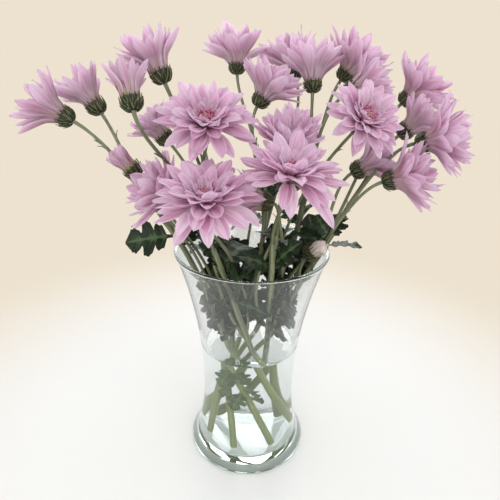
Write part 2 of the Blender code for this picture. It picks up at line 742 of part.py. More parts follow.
def make_blooms(petals):
    """One node for each bloom: its core and its petals, fused."""
    for bloom in BLOOMS:
        pieces = [core_piece(bloom)]
        for k, (points, faces) in enumerate(petals[bloom.name]):
            pieces.append(mesh_piece(f"{bloom.name}_petal_{k}", points, faces))
        fuse("bloom_" + bloom.name, pieces, "bud" if bloom.kind == "closed" else "petal")


def make_sprays(strands, leaves):
    """One node for each spray: its main stem, flower stalks, green cups and leaves, fused."""
    for spray in SPRAYS:
        pieces = []
        for strand in strands:
            if strand["spray"] != spray.name:
                continue
            if strand["bloom"] is None:
                points = tube_points(strand["points"], STEM_EVERY)
                radii = np.linspace(STEM_R, STEM_TOP_R, len(points))
                pieces.append(tube_piece(spray.name + "_stem", points, radii))
            else:
                points = tube_points(strand["points"], STALK_EVERY)
                pieces.append(tube_piece("stalk", points, [STALK_R] * len(points)))
        pieces += [cup_piece(b) for b in BLOOMS if b.spray == spray.name]
        for k, (points, faces) in enumerate(leaves[spray.name]):
            pieces.append(mesh_piece(f"{spray.name}_leaf_{k}", points, faces))
        fuse("spray_" + spray.name, pieces, "green")


def wall_shape():
    """Points and faces of the glass wall, up its inside and down its outside."""
    rings = [(inner_radius(z), z) for z in WALL_HEIGHTS]
    rings += [(outer_radius(z), z) for z in WALL_HEIGHTS[::-1]]
    points = [unit(360 * k / WALL_TURNS) * r + Vector((0, 0, z))
              for r, z in rings for k in range(WALL_TURNS)]
    faces = []
    for i in range(0, len(points) - WALL_TURNS, WALL_TURNS):
        for k in range(WALL_TURNS):
            a, b = i + k, i + (k + 1) % WALL_TURNS
            faces.append((a, b, b + WALL_TURNS, a + WALL_TURNS))
    return points, faces


def fill_room(strands):
    """Room that already holds the glass, the strands and the cups."""
    room = Room()
    room.add("vase", *wall_shape())
    for strand in strands:
        every = STEM_EVERY if strand["bloom"] is None else STALK_EVERY
        points = tube_points(strand["points"], every)
        for pair in zip(points, points[1:]):
            room.add(strand["spray"], *tube_shape(pair, strand["r"]))
    for bloom in BLOOMS:
        mouth, axis, _, _ = head_frame(bloom)
        line = [mouth + axis * h for h in CUP_ROOM_HEIGHTS]
        room.add(bloom.spray, *tube_shape(line, CUP_ROOM_R))
        line = [mouth + axis * h for h in (0.0, CORE_H)]
        room.add(bloom.name, *tube_shape(line, CORE_R))
    return room


for old in list(bpy.data.objects):
    bpy.data.objects.remove(old)
bouquet_collection = bpy.data.collections.new(NAME)
pieces_collection = bpy.data.collections.new("pieces")
bpy.context.scene.collection.children.link(bouquet_collection)
bpy.context.scene.collection.children.link(pieces_collection)


def main():
    strands = plan_strands()
    room = fill_room(strands)
    petals = plan_petals(room)
    leaves = plan_leaves(room, strands)
    make_vase()
    make_water(strands)
    make_sprays(strands, leaves)
    make_blooms(petals)
    bpy.data.collections.remove(pieces_collection)


main()
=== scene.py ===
"""Looks of the chrysanthemum bouquet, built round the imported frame.

Lengths are in millimetres and angles in degrees, as in the part's source, and MM turns them into
metres. The layout repeats the part's own values, seeds and order of draws, so every fine petal,
leaf, cup and stem lies where its solid is. Filler petals and leaves then make the bouquet dense.
"""
import math
import random
from collections import namedtuple

import bpy
import numpy as np
from mathutils import Matrix, Vector
from mathutils.bvhtree import BVHTree


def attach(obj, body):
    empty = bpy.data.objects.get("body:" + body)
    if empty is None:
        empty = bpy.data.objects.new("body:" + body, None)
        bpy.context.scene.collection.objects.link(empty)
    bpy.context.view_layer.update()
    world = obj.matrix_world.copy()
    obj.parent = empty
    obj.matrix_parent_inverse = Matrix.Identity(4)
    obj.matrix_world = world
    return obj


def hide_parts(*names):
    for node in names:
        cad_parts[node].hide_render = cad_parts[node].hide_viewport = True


MM = 0.001
# Seeds of the random draws: the first two are the part's own
PETAL_SEED, LEAF_SEED = 100, 500
FINE_SEED, SPRAY_SEED, EXTRA_SEED = 300, 400, 700

# Vase and water
VASE_H = 190.0
RIM_R = 60.0
WAIST_R = 39.0
WAIST_Z = 64.0
FOOT_R = 51.0
FOOT_EDGE = 3.0
FLARE_LOW = 2.5
FLARE_HIGH = 1.95
WALL_TOP = 2.4
WALL_BOTTOM = 4.2
FLOOR_Z = 9.0
CORNER_R = 5.0
WATER_Z = 103.0

# Main stems: they stand in a spiral, so that none crosses another in the vase's waist
STEM_R = 2.7
STEM_TOP_R = 2.0
STEM_FOOT_Z = 10.9
STEM_FOOT_RADIUS = 29.0
STEM_SPIRAL = 130.0
STEM_SIDES = 6
STEM_BEND = 0.5
STEM_LEAN = (0.75, 0.97)
STALK_R = 1.3
STALK_LEAVES = 0.36
STALK_ARRIVES = 0.20
STALK_SINK = 4.0
STRAND_STEP = 3.0
STRAND_CLEAR = 1.6
PUSH_ROUNDS = 60
PUSH_SPREAD = 7
PUSH_STEP = 0.3
PUSH_FREE_Z = 130.0
STRAIGHT_Z = 103.5
STEM_EVERY = 9
STALK_EVERY = 12

# Flower heads, measured along the bloom's own axis from the mouth of its green cup
CUP_R = 7.0
CUP_MIDDLE = 4.0
CORE_R = 6.8
CORE_H = 6.0
PETAL_LENGTH = 32.0
PETAL_WIDTH = 9.6
PETAL_THICK = 1.4
PETAL_ROOT_R = 0.8
PETAL_ROOT_H = 2.2
PETAL_ROW_H = 1.1
PETAL_CLEAR = 0.45
PETAL_STATIONS = (0.42, 0.84)
PETAL_WIDTHS = (1.0, 0.78)
TRY_LIFTS = (0, 7, -7, 14, -14, 22, 30, 40)
TRY_LENGTHS = (1.0, 0.86, 0.72)
# How far the seeded draws go: share of a petal's step round the row, then degrees and shares
DRAW_TURN = 0.14
DRAW_LIFT = 6.0
DRAW_CURL = 10.0
DRAW_TWIST = 14.0
DRAW_LENGTH = (0.90, 1.06)
LOOSE_WIDTH = 0.95

# Leaves
LEAF_LENGTH = 46.0
LEAF_WIDTH = 34.0
LEAF_THICK = 1.5
LEAF_ARCH = 5.0
LEAF_CLEAR = 0.5
LEAF_ABOVE_WATER = 2.0
LEAF_TRIES = 120
LEAF_REACH = 62.0
LEAF_ROLL = 35.0
# Seeded leaves point no further to the front than this share of -Y, so that the stems stay in view
LEAF_FRONT = 0.35
# Half of the lobed outline: share of the length, share of the width, index of the rib point
LEAF_RIB = (0.0, 0.24, 0.42, 0.62, 0.82, 1.0)
LEAF_EDGE = (
    (0.00, 0.04, 0), (0.18, 0.07, 1), (0.22, 0.27, 1), (0.36, 0.35, 1), (0.40, 0.17, 2),
    (0.47, 0.44, 2), (0.60, 0.46, 2), (0.63, 0.19, 3), (0.76, 0.34, 3), (0.86, 0.26, 4),
)
# Points of a leaf that lie in or near the stem: both ends of its ribs' start and of its first edges
LEAF_FOOT = {0, 5, 10, 11, 20, 21}

# What the tests of clear space hold for the glass wall and for a green cup
WALL_HEIGHTS = (60.0, 100.0, 130.0, 160.0, 190.0)
WALL_TURNS = 36
CUP_ROOM_R = 8.3
CUP_ROOM_HEIGHTS = (-9.5, -6.7, -3.0, 0.0)

Spray = namedtuple("Spray", "name azimuth rim fork")
Bloom = namedtuple("Bloom", "name spray at azimuth lift kind size leave")
Row = namedtuple("Row", "count lift curl length width")
Leaf = namedtuple("Leaf", "spray at azimuth lift curl size roll")
LeafKind = namedtuple("LeafKind", "count start end fan lifts curls sizes")

SPRAYS = (
    Spray("left", 180, 50, (-66, -8, 213)),
    Spray("front_left", 240, 43, (-27, -36, 203)),
    Spray("back_left", 120, 40, (-36, 14, 216)),
    Spray("front", 290, 43, (14, -32, 206)),
    Spray("back", 70, 42, (10, 36, 222)),
    Spray("right", 30, 44, (40, 18, 218)),
    Spray("right_front", 350, 51, (60, -9, 206)),
)

# A bloom's place is the middle of its green cup, and its azimuth and lift are where it faces
BLOOMS = (
    Bloom("front_left_large", "front_left", (-28, -66, 241), -88, 74, "open", 1.02, 1.0),
    Bloom("front_right_large", "front", (21, -58, 256), -72, 73, "open", 0.98, 1.0),
    Bloom("centre_left_large", "back_left", (-30, -38, 283), -85, 57, "open", 0.92, 1.00),
    Bloom("right_large", "right", (67, -20, 286), -64, 44, "open", 0.82, 1.00),
    Bloom("left_1", "left", (-126, -10, 285), 180, 28, "bell", 0.86, 0.80),
    Bloom("left_2", "left", (-110, 5, 290), 158, 50, "bell", 0.78, 1.0),
    Bloom("left_3", "back_left", (-73, -45, 299), 118, 58, "tight", 0.64, 0.80),
    Bloom("left_bud", "left", (-83, -12, 250), 180, 45, "half", 0.80, 0.88),
    Bloom("left_top", "back_left", (-59, -20, 313), 164, 65, "bell", 0.80, 0.74),
    Bloom("left_inner", "back_left", (-66, 20, 267), 178, 49, "bell", 0.68, 0.84),
    Bloom("low_left", "front_left", (-52, -28, 236), -168, 30, "wide", 0.92, 0.78),
    Bloom("top_back", "back", (-16, 85, 314), 98, 77, "wide", 1.0, 1.0),
    Bloom("top_centre", "back", (3, 40, 293), 20, 58, "wide", 0.94, 0.80),
    Bloom("top_far", "back", (33, 90, 310), 155, 67, "bell", 1.0, 0.74),
    Bloom("behind_front", "front", (22, -8, 264), -87, 70, "bell", 0.85, 0.76),
    Bloom("low_centre", "front", (10, -20, 233), -170, 12, "bell", 0.80, 0.84),
    Bloom("top_right", "right", (44, 50, 304), 90, 68, "bell", 0.98, 0.76),
    Bloom("top_right_near", "right", (67, 22, 303), 12, 28, "bell", 0.80, 0.80),
    Bloom("right_top", "right", (69, 60, 312), -6, 57, "wide", 1.0, 0.84),
    Bloom("right_far", "right_front", (120, 60, 295), -8, 48, "wide", 1.0, 0.82),
    Bloom("right_edge", "right_front", (115, -5, 274), -28, 16, "wide", 0.98, 0.76),
    Bloom("right_behind", "right_front", (112, 28, 275), -3, 42, "bell", 0.80, 0.88),
    Bloom("right_low", "right_front", (93, -15, 249), -18, 22, "wide", 0.96, 0.72),
    Bloom("right_inner", "right_front", (76, 10, 249), -5, 32, "bell", 0.80, 0.80),
    Bloom("closed_bud", "right_front", (43, -15, 191), -20, 45, "closed", 0.80, 0.66),
    Bloom("back_low_left", "back_left", (-46, 66, 262), 120, 40, "bell", 1.0, 0.80),
    Bloom("back_low_right", "back", (34, 92, 250), 65, 38, "bell", 1.0, 0.82),
)

ROWS = {
    "open": (Row(9, 8, -22, 1.0, 1.0), Row(8, 36, -6, 0.90, 0.94), Row(5, 64, 8, 0.60, 0.70)),
    "wide": (Row(8, 30, -10, 1.0, 1.12), Row(6, 58, -4, 0.94, 1.0)),
    "bell": (Row(8, 44, -8, 1.0, 1.0), Row(6, 67, -2, 0.93, 0.88)),
    "tight": (Row(8, 58, -10, 1.0, 0.90), Row(5, 76, 0, 0.90, 0.70)),
    "half": (Row(7, 66, 12, 0.62, 0.62),),
    "closed": (),
}

# Petals that hang loose: bloom, azimuth in the room, lift, curl, length
LOOSE = (
    ("front_left_large", -112, -24, -46, 0.98),
    ("front_left_large", -86, -22, -58, 1.0),
    ("front_right_large", -56, -20, -40, 1.25),
)

# A leaf's roll turns its face about its own way out, clockwise as seen from its tip
LEAVES = (
    Leaf("left", 0.93, 196, 2, -34, 0.86, 52),
    Leaf("right_front", 0.93, -10, 12, -20, 0.60, 0),
    Leaf("left", 0.99, 130, 60, -20, 0.62, 0),
)
# Seeded leaves of each spray: how many, where along the main stem, how far round from the spray's
# own way, and their lift, curl and size; below the rim they stand or hang along the glass
LEAF_KINDS = (
    LeafKind(1, 0.55, 0.80, 85, (20, 55), (15, 50), (0.65, 1.0)),
    LeafKind(2, 0.60, 0.86, 85, (-60, -5), (-65, -15), (0.65, 1.0)),
    LeafKind(1, 0.86, 0.97, 180, (-10, 45), (-80, -30), (0.6, 0.9)),
)

# Petals, drawn fine: points along and across, thickness, and where the narrow base ends and starts
PETAL_POINTS = (13, 9)
BLADE_THICK = 0.5
CLAW_END = 0.36
CLAW_R = 4.6
CLAW_H = -1.4
GROOVE_AT = 0.5
FINE_WIDTH = {"open": 1.0, "wide": 1.08, "bell": 1.0, "tight": 0.88, "half": 0.88}
# Share of their length that the part's own petals keep when drawn fine, row by row
FINE_LENGTH = {"open": (1.0, 0.92, 0.62), "wide": (0.97, 0.97), "bell": (0.97, 0.97), "tight": (1.0, 1.0),
               "half": (0.95,)}
# Shares of a petal's length where its tip starts to bend and to narrow, the draws of the two powers
# that make the tip blunt, how wide the base is, where it ends and the least width of the point
TIP_BENDS_AT, TIP_START = 0.66, 0.50
TIP_POWER, TIP_BLUNT = (2.1, 3.2), (0.56, 0.88)
BASE_WIDTH, BASE_END, POINT_WIDTH = 0.30, 0.60, 0.07
# Cupping across the blade, how much of it fades along the blade, and what the base adds
CUPPING, CUPPING_FADE, BASE_CUPPING = (0.24, 0.50), 0.45, 0.18
# Depth or height, by the petal's width, and spread across it of the two grooves and the middle ridge
GROOVE_DEPTH, GROOVE_SPREAD = 0.070, 0.11
RIDGE_HEIGHT, RIDGE_SPREAD = 0.020, 0.13
# Twisting ripple: its waves along the blade and its height; then how far the whole petal sways
RIPPLE_WAVES, RIPPLE_HEIGHT = (0.8, 1.6), (0.2, 0.8)
SWAY = 0.10
# How the start of a petal moves in and up with the height of its row
CLAW_IN, CLAW_UP = 0.45, 1.4
# How far out a head's petals leave its axis, how steeply they leave the cup, and how far their
# tips bend down or up
ROOT_OUT = {"open": 2.6, "wide": 2.6, "bell": 2.2, "tight": 2.4, "half": 3.4, "closed": 4.4}
CLAW_LIFT = {"open": 62, "wide": 34, "bell": 44, "tight": 58, "half": 74, "closed": 70}
TIP_BEND = {"open": (-30, 26), "wide": (-10, 34), "bell": (-4, 32), "tight": (0, 26),
            "half": (0, 14), "closed": (0, 10)}

# Filler petals between the part's own, row by row; rise is how far up the head they root
Fill = namedtuple("Fill", "count lift curl length width rise")
FILL = {
    "open": (Fill(10, 14, -20, 0.95, 1.0, 0.1), Fill(11, 26, -14, 0.93, 1.0, 0.5),
             Fill(11, 37, -8, 0.84, 0.98, 1.1), Fill(11, 46, -2, 0.70, 0.92, 1.8),
             Fill(10, 50, 0, 0.52, 0.78, 2.4), Fill(11, 52, 4, 0.38, 0.58, 3.0)),
    "wide": (Fill(9, 34, -4, 0.99, 1.08, 0.3), Fill(9, 46, -2, 0.96, 1.04, 0.8),
             Fill(9, 58, 0, 0.88, 0.90, 1.3), Fill(9, 70, 0, 0.74, 0.66, 1.8)),
    "bell": (Fill(10, 47, -4, 0.99, 0.94, 0.3), Fill(10, 56, -2, 0.96, 0.90, 0.8),
             Fill(9, 66, 0, 0.86, 0.76, 1.3), Fill(9, 76, 0, 0.70, 0.56, 1.8)),
    "tight": (Fill(14, 62, 4, 0.97, 0.72, 0.4), Fill(13, 73, 4, 0.90, 0.60, 1.2)),
    "half": (Fill(12, 80, 6, 0.54, 0.50, 0.2), Fill(12, 84, 4, 0.57, 0.46, 0.8),
             Fill(8, 86, 2, 0.55, 0.40, 1.2)),
    "closed": (Fill(11, 76, 78, 0.46, 0.50, 0.0), Fill(9, 82, 74, 0.44, 0.46, 0.6),
               Fill(7, 86, 66, 0.40, 0.42, 1.2)),
}

# How far the draws of filler petals go, as for the seeded ones
FILL_TURN, FILL_LIFT, FILL_CURL, FILL_TWIST = 0.25, 12, 12, 18
FILL_LENGTH, FILL_WIDTH = (0.80, 1.06), (0.88, 1.08)
# Blooms whose filler petals stand as those of another kind
FILL_AS = {"behind_front": "wide"}

# Receptacle of a bloom, from inside its cup up: height and radius
DOME = ((-3.0, 3.0), (-1.5, 5.0), (0.5, 5.4), (2.6, 5.0), (4.4, 3.8), (5.6, 2.0), (6.0, 0.5))
# How wide it is in the closed bud
DOME_SHARE = 0.7
# Disc florets on it: how many, how far out they stand, how tall they are and how far they lean
DISC_COUNT = {"open": 130, "wide": 30, "bell": 24, "tight": 6, "half": 4, "closed": 0}
DISC_R = 5.4
DISC_HIGH = 7.6
DISC_LEAN = 0.40
TURN_GOLD = 137.5
# Height of the disc's middle and how far it drops to its edge; share of its height that a floret
# has in the middle; how far the draws of lean, height and inward hook go,
# and how far the hook rises
DISC_TOP, DISC_DROP = 5.4, 3.0
DISC_LOW = 0.55
LEAN_DRAW, HIGH_DRAW, HOOK_DRAW = 0.06, (0.75, 1.2), 0.9
HOOK_UP = 0.4
# Rings of a floret: share of its height and radius
FLORET = ((0, 0.30), (0.45, 0.40), (0.75, 0.55), (0.93, 0.62), (1, 0.25))
FLORET_SIDES = 6

# Bracts of the green cups, from the lowest row up: count, where each starts and ends as an angle
# round the cup's side, width and how far the row stands off
Bracts = namedtuple("Bracts", "count start end width off")
BRACTS = (Bracts(9, 16, 66, 3.0, 0.70), Bracts(12, 28, 86, 3.0, 0.42), Bracts(14, 42, 102, 2.9, 0.10))
BRACT_POINTS = (7, 5)
BRACT_THICK = 0.45
CUP_MOUTH_R = 6.2
FINE_DEPTH = 8.0
# How far a bract's tip stands off, how much its middle bulges, the width of its foot and the share
# that its tip loses; how far the draws of its end and of its place in the row go
BRACT_FLICK = (0.3, 1.4)
BRACT_BULGE, BRACT_FOOT, BRACT_TAPER = 0.30, 0.55, 0.86
BRACT_END_DRAW, BRACT_TURN_DRAW = 5, 0.12
# How full the cup's side is, the less the fuller
CUP_FULL = 0.8
# Inner shell: its share of the cup's radius, its lowest angle and its rings
SHELL_SHARE, SHELL_START, SHELL_RINGS = 0.95, 4, 9

# Stems: the length of one step, and the swellings where leaves once grew
FINE_SIDES = 12
RIB_COUNT = 5
RIB_DEPTH = 0.06
STEM_STEP, STEM_LEAST_STEPS = 4, 12
SWELLINGS, SWELL, SWELL_SPREAD, SWELL_FROM = 6, 0.10, 0.08, 0.3
# Stalks: their taper, the flare into the cup and how far they run into it
STALK_START, STALK_TAPER = 1.05, 0.2
FLARE, FLARE_FROM = 0.2, 0.90
STALK_MORE = 2.0
# Scale leaves: how many on a stalk, where, how long, bent how far, half width, channel, points, how
# far off the stalk's middle they root, by its radius, and their tone
SCALES_PER_STALK = 2
SCALES_AT, SCALE_LENGTH, SCALE_BEND = (0.35, 0.9), (5, 9), (20, 65)
SCALE_HALF, SCALE_CHANNEL = 0.95, 0.25
SCALE_POINTS = (7, 5)
SCALE_ROOT, SCALE_TONE = 0.7, 0.6

# Leaves: points from the rib to each side's edge, and steps between two points of the outline
LEAF_ACROSS = 3
LEAF_STEPS = 5
LEAF_SKIN = 0.5
LEAF_OFF_GLASS = 0.4
# Teeth of the edge: height, turn per point and the width where they start; least width of a leaf
TOOTH, TOOTH_TURN, TOOTH_FROM = 0.022, 1.9, 0.14
LEAF_LEAST = 0.012
# Points along a leaf's middle line when it is bent
LEAF_LINE = 80
# How far a side vein runs on towards the tip, by the width, and how the blade waves and warps
VEIN_RUN = 0.38
LOBE_WAVES, LOBE_HEIGHT = 4.5, 0.9
WARP_DRAW, WARP_HEIGHT, WARP_WAVES = (0.6, 1.4), 3, 5
# Spread of the rib and the side veins, the strength of the latter and the width where they start
RIB_SPREAD, VEIN_SPREAD, VEIN_SHARE, VEIN_FROM = 0.10, 0.8, 0.8, 0.2
EXTRA_TRIES = 60
# Filler leaves of each spray, in the same way as the seeded ones
EXTRA_KINDS = (
    LeafKind(4, 0.46, 0.74, 110, (15, 65), (0, 55), (0.5, 0.9)),
    LeafKind(5, 0.54, 0.82, 110, (-75, -10), (-70, -5), (0.5, 0.95)),
    LeafKind(2, 0.82, 0.97, 150, (-10, 50), (-90, -20), (0.4, 0.72)),
    LeafKind(2, 0.86, 0.99, 120, (45, 80), (-60, -10), (0.45, 0.75)),
)
# More leaves, named one by one: each grows at a share of a spray's main stem or of a bloom's stalk;
# the first six stand in the water
MORE_LEAVES = (
    Leaf("left", 0.385, 250, -20, -60, 0.50, 20), Leaf("left", 0.37, 300, 10, -50, 0.44, -20),
    Leaf("left", 0.34, 205, -25, -40, 0.50, -10), Leaf("left", 0.31, 330, -10, -30, 0.42, 25),
    Leaf("left", 0.28, 240, -40, -30, 0.46, 10), Leaf("left", 0.25, 10, -20, -30, 0.34, -15),
    Leaf("right", 0.97, 10, 55, -45, 0.62, 10), Leaf("right_front", 0.96, 60, 60, -40, 0.58, -10),
    Leaf("back", 0.97, 40, 60, -40, 0.58, 0), Leaf("back_left", 0.96, 120, 55, -40, 0.55, 15),
    Leaf("left_3", 0.42, 200, 70, -30, 0.34, 0), Leaf("left_inner", 0.40, 250, 60, -50, 0.36, 0),
    Leaf("right_large", 0.30, 340, 60, -40, 0.46, 0), Leaf("low_centre", 0.45, 150, 40, -60, 0.40, 0),
)
# Side shoots: each leaves its spray's main stem at a share of it and runs up to a share of a
# bloom's stalk, bowed towards an azimuth by some millimetres
Shoot = namedtuple("Shoot", "spray start bloom end azimuth bow")
SHOOT_R = 1.15
SHOOT_PULL = 0.35
SHOOTS = (
    Shoot("left", 0.52, "left_2", 0.40, 20, 17), Shoot("left", 0.60, "left_1", 0.35, 330, 11),
    Shoot("front_left", 0.52, "low_left", 0.45, 175, 10),
    Shoot("front_left", 0.56, "front_left_large", 0.55, 10, 16),
    Shoot("front", 0.52, "front_right_large", 0.50, 10, 14),
    Shoot("front", 0.58, "low_centre", 0.50, 185, 15),
    Shoot("right_front", 0.54, "right_low", 0.40, 200, 18),
    Shoot("right_front", 0.62, "right_edge", 0.35, 180, 10),
    Shoot("right", 0.54, "right_large", 0.40, 230, 15), Shoot("back", 0.55, "top_centre", 0.40, 180, 15),
    Shoot("back_left", 0.55, "centre_left_large", 0.45, 0, 13),
)

# Glass and water: the water bites a little into the glass, so that light bends as it should
TURN_STEPS = 128
# Points up the inside of the glass, round its rim and down its outside; across the water and down it
INSIDE_STEPS, RIM_STEPS, OUTSIDE_STEPS = 48, 15, 60
SURFACE_STEPS, WALL_STEPS = 40, 30
# Edges steeper than this stay sharp, in blades and in glass
SHARP_BLADE, SHARP_GLASS = 75, 60
RIM_BEAD = 1.5
RIM_FLAT = 0.6
WATER_BITE = 0.25
# How far the water is drawn up at the wall, and how near the wall that starts, the more the nearer
MENISCUS, MENISCUS_POWER = 0.9, 40
CLEAR_SHINE = 0.75
# Light that has met this many surfaces goes straight on, as it would leave real glass in the end:
# at the low and at the high of two heights
STRAIGHT_LOW, STRAIGHT_HIGH = 60.0, 115.0
GLASS_STRAIGHT = (6.0, 2.0)
WATER_STRAIGHT = (3.0, 3.0)
CLEAR_TINT = (0.97, 0.98, 0.98)
GLASS_TINT = (0.992, 0.996, 0.995)
# Tint of the foot ring: partly its thick glass, partly painted shade
FOOT_SHADE_TINT = (0.54, 0.59, 0.555)
# Where the foot's glass is tinted darker, partly for its thick glass and partly as painted shade for the
# # dark reflections in it: heights and radii between which it starts
FOOT_LOW, FOOT_HIGH, FOOT_IN, FOOT_OUT = 10.0, 22.0, 40.0, 47.0
# What a metre of glass takes: one less this colour, times the density
TAKES_DENSITY = 20.0
GLASS_TAKES = (0.36, 0.46, 0.44)
WATER_TINT = (0.99, 0.997, 0.995)
WATER_TAKES = (0.97, 0.985, 0.994)
# Hollow underside of the foot, from its ring of contact to the middle: share of the radius, and of
# how high it rises
UNDER_Z = 2.6
UNDERSIDE = ((0.90, 0.0), (0.875, 0.35), (0.84, 0.75), (0.79, 0.95), (0.70, 1.0), (0.0, 1.0))

# Camera
CAMERA_AT = (-1.4, -322.4, 332.1)
CAMERA_LENS = 32.55
CAMERA_SENSOR = 36.0
CAMERA_NEAR = 0.01
CAMERA_PITCH = 24.259
CAMERA_ROLL = 1.456

# Studio, in metres: a white floor that turns to the backdrop's cream further off
CREAM = (0.85, 0.76, 0.625)
SKY = (0.93, 0.96, 1.0)
SKY_STRENGTH = 1.13
FLOOR_WHITE = (0.705, 0.69, 0.655)
FLOOR_HALF = 20.0
FLOOR_UNDER = 0.0002
FADE_START = 0.16
FADE_END = 0.46
Lamp = namedtuple("Lamp", "name at aim size power colour")
LAMPS = (
    Lamp("key", (-0.45, -1.35, 0.95), (0, 0, 0.25), 1.0, 7.5, (1.0, 0.98, 0.95)),
    Lamp("fill", (0.9, -1.1, 0.7), (0, 0, 0.2), 1.2, 5, (0.97, 0.98, 1.0)),
    Lamp("back", (0.05, 1.25, 0.80), (0, 0, 0.22), 0.6, 7.5, (1.0, 0.99, 0.98)),
)

# Petals' colours from base to tip, above and below, then their dark lines, which also paint shade into
# # the two grooves, their pale margins and the share of light that comes through
PetalLook = namedtuple("PetalLook", "top low streak margin through")
PETAL_LOOK = PetalLook(
    ((0.0, (0.80, 0.38, 0.55)), (0.22, (0.87, 0.55, 0.71)), (0.5, (0.89, 0.63, 0.77)),
     (1.0, (0.91, 0.70, 0.83))),
    ((0.0, (0.76, 0.71, 0.53)), (0.24, (0.88, 0.77, 0.71)), (0.46, (0.90, 0.71, 0.80)),
     (1.0, (0.92, 0.78, 0.88))),
    (0.70, 0.36, 0.54), (0.94, 0.84, 0.91), 0.68)
BUD_LOOK = PetalLook(
    ((0.0, (0.40, 0.40, 0.24)), (0.4, (0.58, 0.50, 0.40)), (1.0, (0.72, 0.56, 0.54))),
    ((0.0, (0.40, 0.40, 0.24)), (0.4, (0.60, 0.52, 0.42)), (1.0, (0.74, 0.58, 0.56))),
    (0.42, 0.24, 0.22), (0.80, 0.72, 0.66), 0.15)
# Coarse and fine lines of a petal: how many noise cells across and along it
PETAL_LINES = ((7.0, 0.8), (17.0, 1.5))
# Disc florets from the middle of the disc outwards
DISC_COLOURS = ((0.0, (0.24, 0.20, 0.08)), (0.30, (0.36, 0.20, 0.10)), (0.55, (0.38, 0.09, 0.15)),
                (1.0, (0.42, 0.10, 0.20)))
DISC_ENDS = (0.66, 0.30, 0.44)
# Bracts: two greens in flecks, then the margin, the tip and the shell inside them
BRACT_GREENS = ((0.005, 0.009, 0.003), (0.022, 0.034, 0.012))
BRACT_MARGIN, BRACT_TIP, SHELL_GREEN = (0.27, 0.26, 0.13), (0.17, 0.11, 0.05), (0.012, 0.020, 0.007)
# Stems: two greens in broad patches, then the painted highlight on the ribs, the flecks and the colour
# # under water
STEM_GREENS = ((0.085, 0.098, 0.042), (0.195, 0.212, 0.110))
# Paler colour along the rib crests is a painted highlight
STEM_RIB_HIGHLIGHT, STEM_FLECKS, STEM_WET = (0.32, 0.335, 0.215), (0.03, 0.035, 0.018), (0.22, 0.26, 0.06)
# Leaves: two mottled greens above and two below, then the veins and the colour under water
LEAF_GREENS = ((0.004, 0.011, 0.003), (0.018, 0.040, 0.012))
LEAF_LOW_GREENS = ((0.014, 0.028, 0.011), (0.040, 0.068, 0.028))
LEAF_VEINS, LEAF_WET = (0.13, 0.20, 0.08), (0.10, 0.17, 0.04)
# How far below the surface stems and leaves have their colour under water
STEM_WET_DEPTH, LEAF_WET_DEPTH = 20, 4


def unit(azimuth, lift=0.0):
    """Unit vector at an azimuth, counted from +X towards +Y, and a lift above level."""
    a, b = math.radians(azimuth), math.radians(lift)
    return Vector((math.cos(a) * math.cos(b), math.sin(a) * math.cos(b), math.sin(b)))


def outer_radius(z):
    """Outside of the vase: narrowest at the waist, flared to the rim and to the foot."""
    if z < WAIST_Z:
        return WAIST_R + (FOOT_R - WAIST_R) * ((WAIST_Z - z) / WAIST_Z) ** FLARE_LOW
    return WAIST_R + (RIM_R - WAIST_R) * ((z - WAIST_Z) / (VASE_H - WAIST_Z)) ** FLARE_HIGH


def inner_radius(z):
    """Inside of the vase: the wall thickens a little towards the foot."""
    return outer_radius(z) - WALL_BOTTOM + (WALL_BOTTOM - WALL_TOP) * z / VASE_H


def bezier(p0, p1, p2, p3, step=STRAND_STEP):
    """Points about one step apart along a cubic Bezier curve."""
    p0, p1, p2, p3 = (np.array(p, float) for p in (p0, p1, p2, p3))
    count = max(2 * PUSH_SPREAD + 3, int(np.linalg.norm(p3 - p0) / step) + 1)
    t = np.linspace(0, 1, count)[:, None]
    return p0 * (1 - t) ** 3 + 3 * p1 * t * (1 - t) ** 2 + 3 * p2 * t ** 2 * (1 - t) + p3 * t ** 3


def along(points, share):
    """Point and direction at a share of a strand's number of points."""
    i = min(int(share * (len(points) - 1)), len(points) - 2)
    direction = points[i + 1] - points[i]
    return points[i], direction / np.linalg.norm(direction)


def stem_line(spray):
    """Centre line of a main stem: straight from its cut foot, then bent towards its fork."""
    foot = unit(spray.azimuth + STEM_SPIRAL) * STEM_FOOT_RADIUS + Vector((0, 0, STEM_FOOT_Z))
    rim = unit(spray.azimuth) * spray.rim + Vector((0, 0, VASE_H))
    bend = foot.lerp(rim, STEM_BEND)
    count = int((bend - foot).length / STRAND_STEP)
    straight = [np.array(foot.lerp(bend, k / count)) for k in range(count)]
    lean = [foot.lerp(rim, share) for share in STEM_LEAN]
    return np.vstack([straight, bezier(bend, *lean, spray.fork)])


def stalk_line(bloom, stem):
    """Centre line of a flower stalk, from its fork on the main stem to its green cup."""
    start, way = along(stem, bloom.leave)
    axis = np.array(unit(bloom.azimuth, bloom.lift))
    end = np.array(bloom.at) - axis * STALK_SINK
    reach = np.linalg.norm(end - start)
    return bezier(start, start + way * reach * STALK_LEAVES, end - axis * reach * STALK_ARRIVES, end)


def push_apart(strands, cups):
    """Bend strands of different sprays clear of each other and of the other blooms' cups."""
    kernel = np.hanning(2 * PUSH_SPREAD + 3)[1:-1]
    kernel /= kernel.max()
    for _ in range(PUSH_ROUNDS):
        for one in strands:
            shift = np.zeros_like(one["points"])
            for two in strands:
                if one["spray"] != two["spray"]:
                    shift += push(one["points"], two["points"], one["r"] + two["r"] + STRAND_CLEAR)
            for name, at in cups.items():
                if name != one["bloom"]:
                    shift += push(one["points"], at[None], one["r"] + CUP_R + 2 * STRAND_CLEAR)
            ends = np.sin(np.linspace(0, math.pi, len(shift))) ** 0.5
            ends[one["points"][:, 2] < PUSH_FREE_Z] = 0
            for k in range(3):
                shift[:, k] = np.convolve(shift[:, k], kernel, mode="same")
            one["points"] += shift * ends[:, None] * PUSH_STEP


